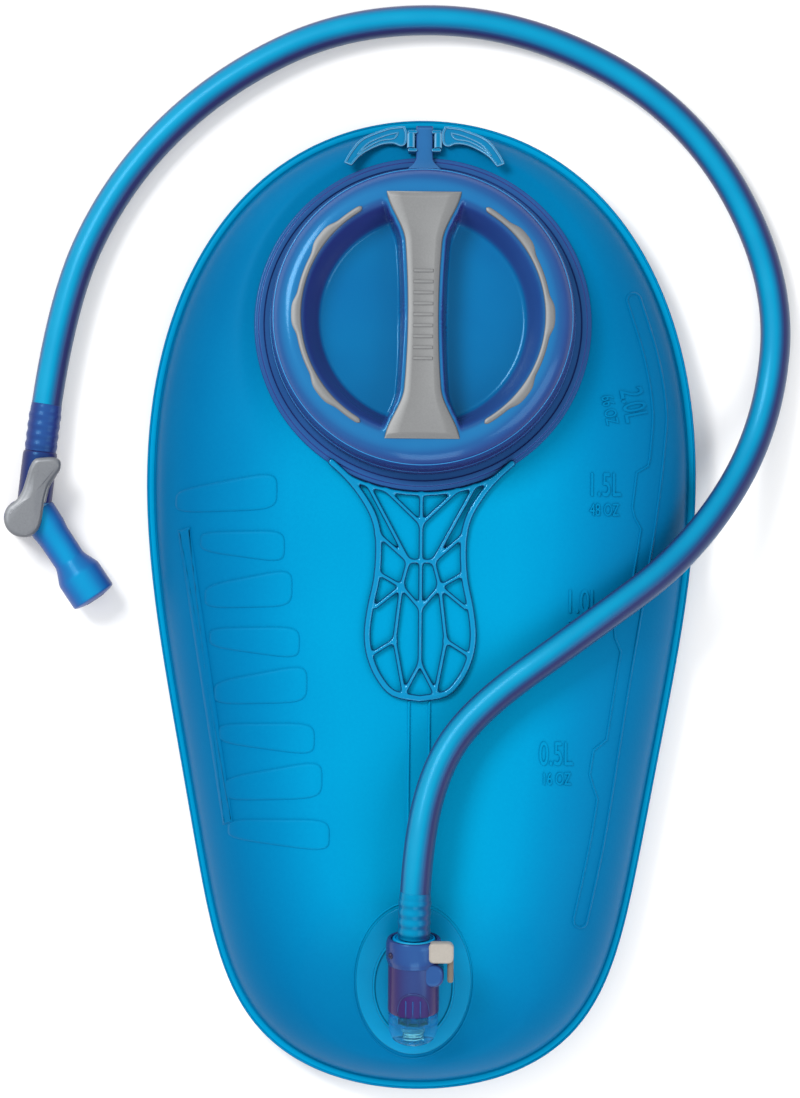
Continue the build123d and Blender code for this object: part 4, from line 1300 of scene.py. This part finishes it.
def point_along(line, distance):
    """The place and direction at a distance along a line of points."""
    for a, b in zip(line, line[1:]):
        length = (b - a).length
        if distance <= length:
            return a + (b - a) * (distance / length), (b - a).normalized()
        distance -= length
    return line[-1], (line[-1] - line[-2]).normalized()


def sleeve(name, line, length, mat):
    """The tube's skin over a barb, with a soft bulge over each of its ribs."""
    rings = []
    for k in range(61):
        at = length * k / 60
        bulge = 0.28 * (0.5 + 0.5 * math.cos(2 * math.pi * (at - 2.2) / BARB_PITCH)) if at < 13.5 else 0.0
        r = TUBE_R + 0.03 + (0.12 + bulge) * (1 - step(length - 1.5, length, at))
        rings.append(ring_round(*point_along(line, at), r, r, 48))
    build(name, loops(rings, (True, True)), mat, "drink_line")


line = tube_line()
sleeve("tube_over_port_barb", line, 16.0, "tube_on_barb")
sleeve("tube_over_valve_barb", line[::-1], 16.5, "tube_on_valve")


# ---- bite valve ----------------------------------------------------------------------------------
ELBOW_Y = -19.2
OUTLET_TURN = 40.3
BOSS = (-3.1, -23.7)
OUTLET = VALVE @ Matrix.Translation((0, ELBOW_Y, 0)) @ Matrix.Rotation(math.radians(OUTLET_TURN), 4, "Z")


def valve_body():
    inlet = lathe(rounded([(TUBE_BORE, -21.0), (6.0, -21.0), (6.0, -1.2), (5.7, 0.0), (TUBE_BORE, 0.0)],
                          0.5), 96, "Y")
    boss = lathe(rounded([(5.8, -6.0), (5.8, 6.6), (6.6, 6.6), (6.6, -7.6), (0.02, -7.6), (0.02, -6.0)],
                         0.5), 96)
    body = merged([inlet, shift(boss, *BOSS), shift(ball(6.05, 24, 96), y=ELBOW_Y)])
    build("valve_housing", body, "valve", "drink_line", VALVE, node="valve_body")
    stem = rounded([(TUBE_BORE, 0.0), (6.0, 0.0), (6.0, -9.3), (3.4, -9.3), (3.4, -19.0), (TUBE_BORE, -19.0)],
                   0.4)
    build("valve_spout", lathe(stem, 96, "Y"), "spout", "drink_line", OUTLET)


def mouthpiece():
    """The soft bite piece: a sleeve, a flare and a cup with a domed end and a slit."""
    profile = [(6.02, -2.0), (6.2, -2.2), (6.3, -3.0), (6.15, -9.4), (5.7, -12.5), (5.6, -22.4),
               (6.1, -23.8), (7.7, -27.4), (8.0, -28.4), (8.0, -37.0), (7.8, -37.6), (6.6, -38.1),
               (4.0, -38.6), (0.02, -38.75), (0.02, -37.3), (6.2, -37.0), (6.2, -29.2), (3.5, -23.3),
               (3.5, -9.5), (6.02, -9.5)]
    cup = lathe(rounded(profile, 0.5), 96, "Y")
    build("bite_piece", cup, "silicone", "drink_line", OUTLET, node="mouthpiece")
    slit = bar([(x, -38.72 + 0.008 * x * x, 0) for x in (-3.5, -2, -0.7, 0.7, 2, 3.5)], 0.12, 0.1)
    build("bite_slit", slit, "dark", "drink_line", OUTLET)


LEVER_LINE = [(-9.4, -22.4), (-8.4, -20.0), (-6.0, -17.6), (-4.4, -14.4), (-3.4, -9.6), (-2.6, -5.6),
              (-1.2, -2.9), (1.6, -2.0), (5.4, -1.5), (7.6, -2.6), (7.9, -5.4), (6.3, -8.4), (4.6, -11.6),
              (3.8, -15.4), (3.6, -19.6), (3.4, -24.0), (2.2, -27.8), (-0.6, -29.9), (-4.0, -30.2),
              (-7.2, -28.8), (-9.2, -26.0)]
LEVER_CURL = 1.5             # how far the thumb end rises


def shutoff_lever():
    """The grey lever: a domed disc over the plug and a thumb arm with a turned-down side."""
    outline = evenly(smooth_line(LEVER_LINE + LEVER_LINE[:1], 5)[:-1], 0.6)
    points, faces = pebble(outline, 7.0, 9.75, 1.8, dome=0.35)
    top = [(x, y, z + LEVER_CURL * step(-13.0, -1.5, y) * (1.0 if z > 8.0 else 0.6))
           for x, y, z in points], faces
    flank_line = smooth_line([(3.9, -17.5), (4.6, -11.6), (6.3, -8.0), (7.5, -4.6)], 6)
    rings = []
    for k, (x, y) in enumerate(flank_line):
        share = k / (len(flank_line) - 1)
        low = 6.2 - 3.4 * math.sin(math.pi * (0.1 + 0.75 * share))
        rings.append([(x - 0.9, y, low), (x - 0.9, y, 8.4), (x - 0.2, y, 8.9), (x + 0.3, y, 8.4),
                      (x + 0.3, y, low), (x - 0.3, y, low - 0.35)])
    shape = merged([top, loops(rings, (True, True))])
    build("thumb_lever", shape, "lever", "lever", VALVE, node="shutoff_lever")


valve_body()
mouthpiece()
shutoff_lever()


# ---- CAD nodes keep their shape and take a finish -------------------------------------------------
FINISH = {
    "center_baffle": "film", "cap_seal": "seal", "port_poppet": "clear", "port_spring": "steel",
    "button_spring": "steel", "connector_seal": "seal", "valve_plug": "valve", "plug_seals": "seal",
}
for node, finish in FINISH.items():
    for material_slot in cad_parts[node].material_slots:
        material_slot.material = MATERIALS[finish]


# ---- studio --------------------------------------------------------------------------------------
def stage_object(name, data):
    """A floor or a light, which isn't part of the object."""
    thing = add_object(name, data)
    return thing


def studio():
    floor_mesh = bpy.data.meshes.new("floor")
    floor_mesh.from_pydata([(-6, -6, 0), (6, -6, 0), (6, 6, 0), (-6, 6, 0)], [], [(0, 1, 2, 3)])
    pale, tree, shader = material("floor", roughness=0.8, specular=0.1)
    cloud = ramp(tree, noise_value(tree, 2.0), [(0.0, (0.93, 0.93, 0.93)), (1.0, (0.95, 0.95, 0.95))])
    tree.links.new(cloud, shader.inputs["Base Color"])
    floor_mesh.materials.append(pale)
    stage_object("floor", floor_mesh)

    world = bpy.data.worlds.new("studio")
    world.use_nodes = True
    set_inputs(world.node_tree.nodes["Background"], Color=(*WHITE, 1.0), Strength=0.75)
    bpy.context.scene.world = world

    for name, place, size, power in (
        ("key", (-0.9, 0.9, 1.4), 0.7, 26.0),
        ("fill", (1.2, -0.4, 1.2), 1.0, 10.0),
        ("low", (0.1, -1.3, 0.9), 0.8, 8.0),
    ):
        lamp = bpy.data.lights.new(name, "AREA")
        lamp.size = size
        lamp.energy = power
        light = stage_object(name, lamp)
        light.location = place
        light.rotation_euler = (-Vector(place)).to_track_quat("-Z", "Y").to_euler()

    scene = bpy.context.scene
    scene.view_settings.view_transform = "Standard"
    camera_data = bpy.data.cameras.new("camera")
    camera_data.lens = 300.0
    camera_data.sensor_width = 36.0
    camera_data.clip_end = 20.0
    camera = add_object("camera", camera_data)
    view_height = 0.3788         # metres of the floor that the picture spans
    camera.location = (-0.0072, 0.0193, 0.025 + view_height * camera_data.lens / camera_data.sensor_width)
    camera.rotation_euler = (0, 0, math.radians(0.52))
    scene.camera = camera


studio()
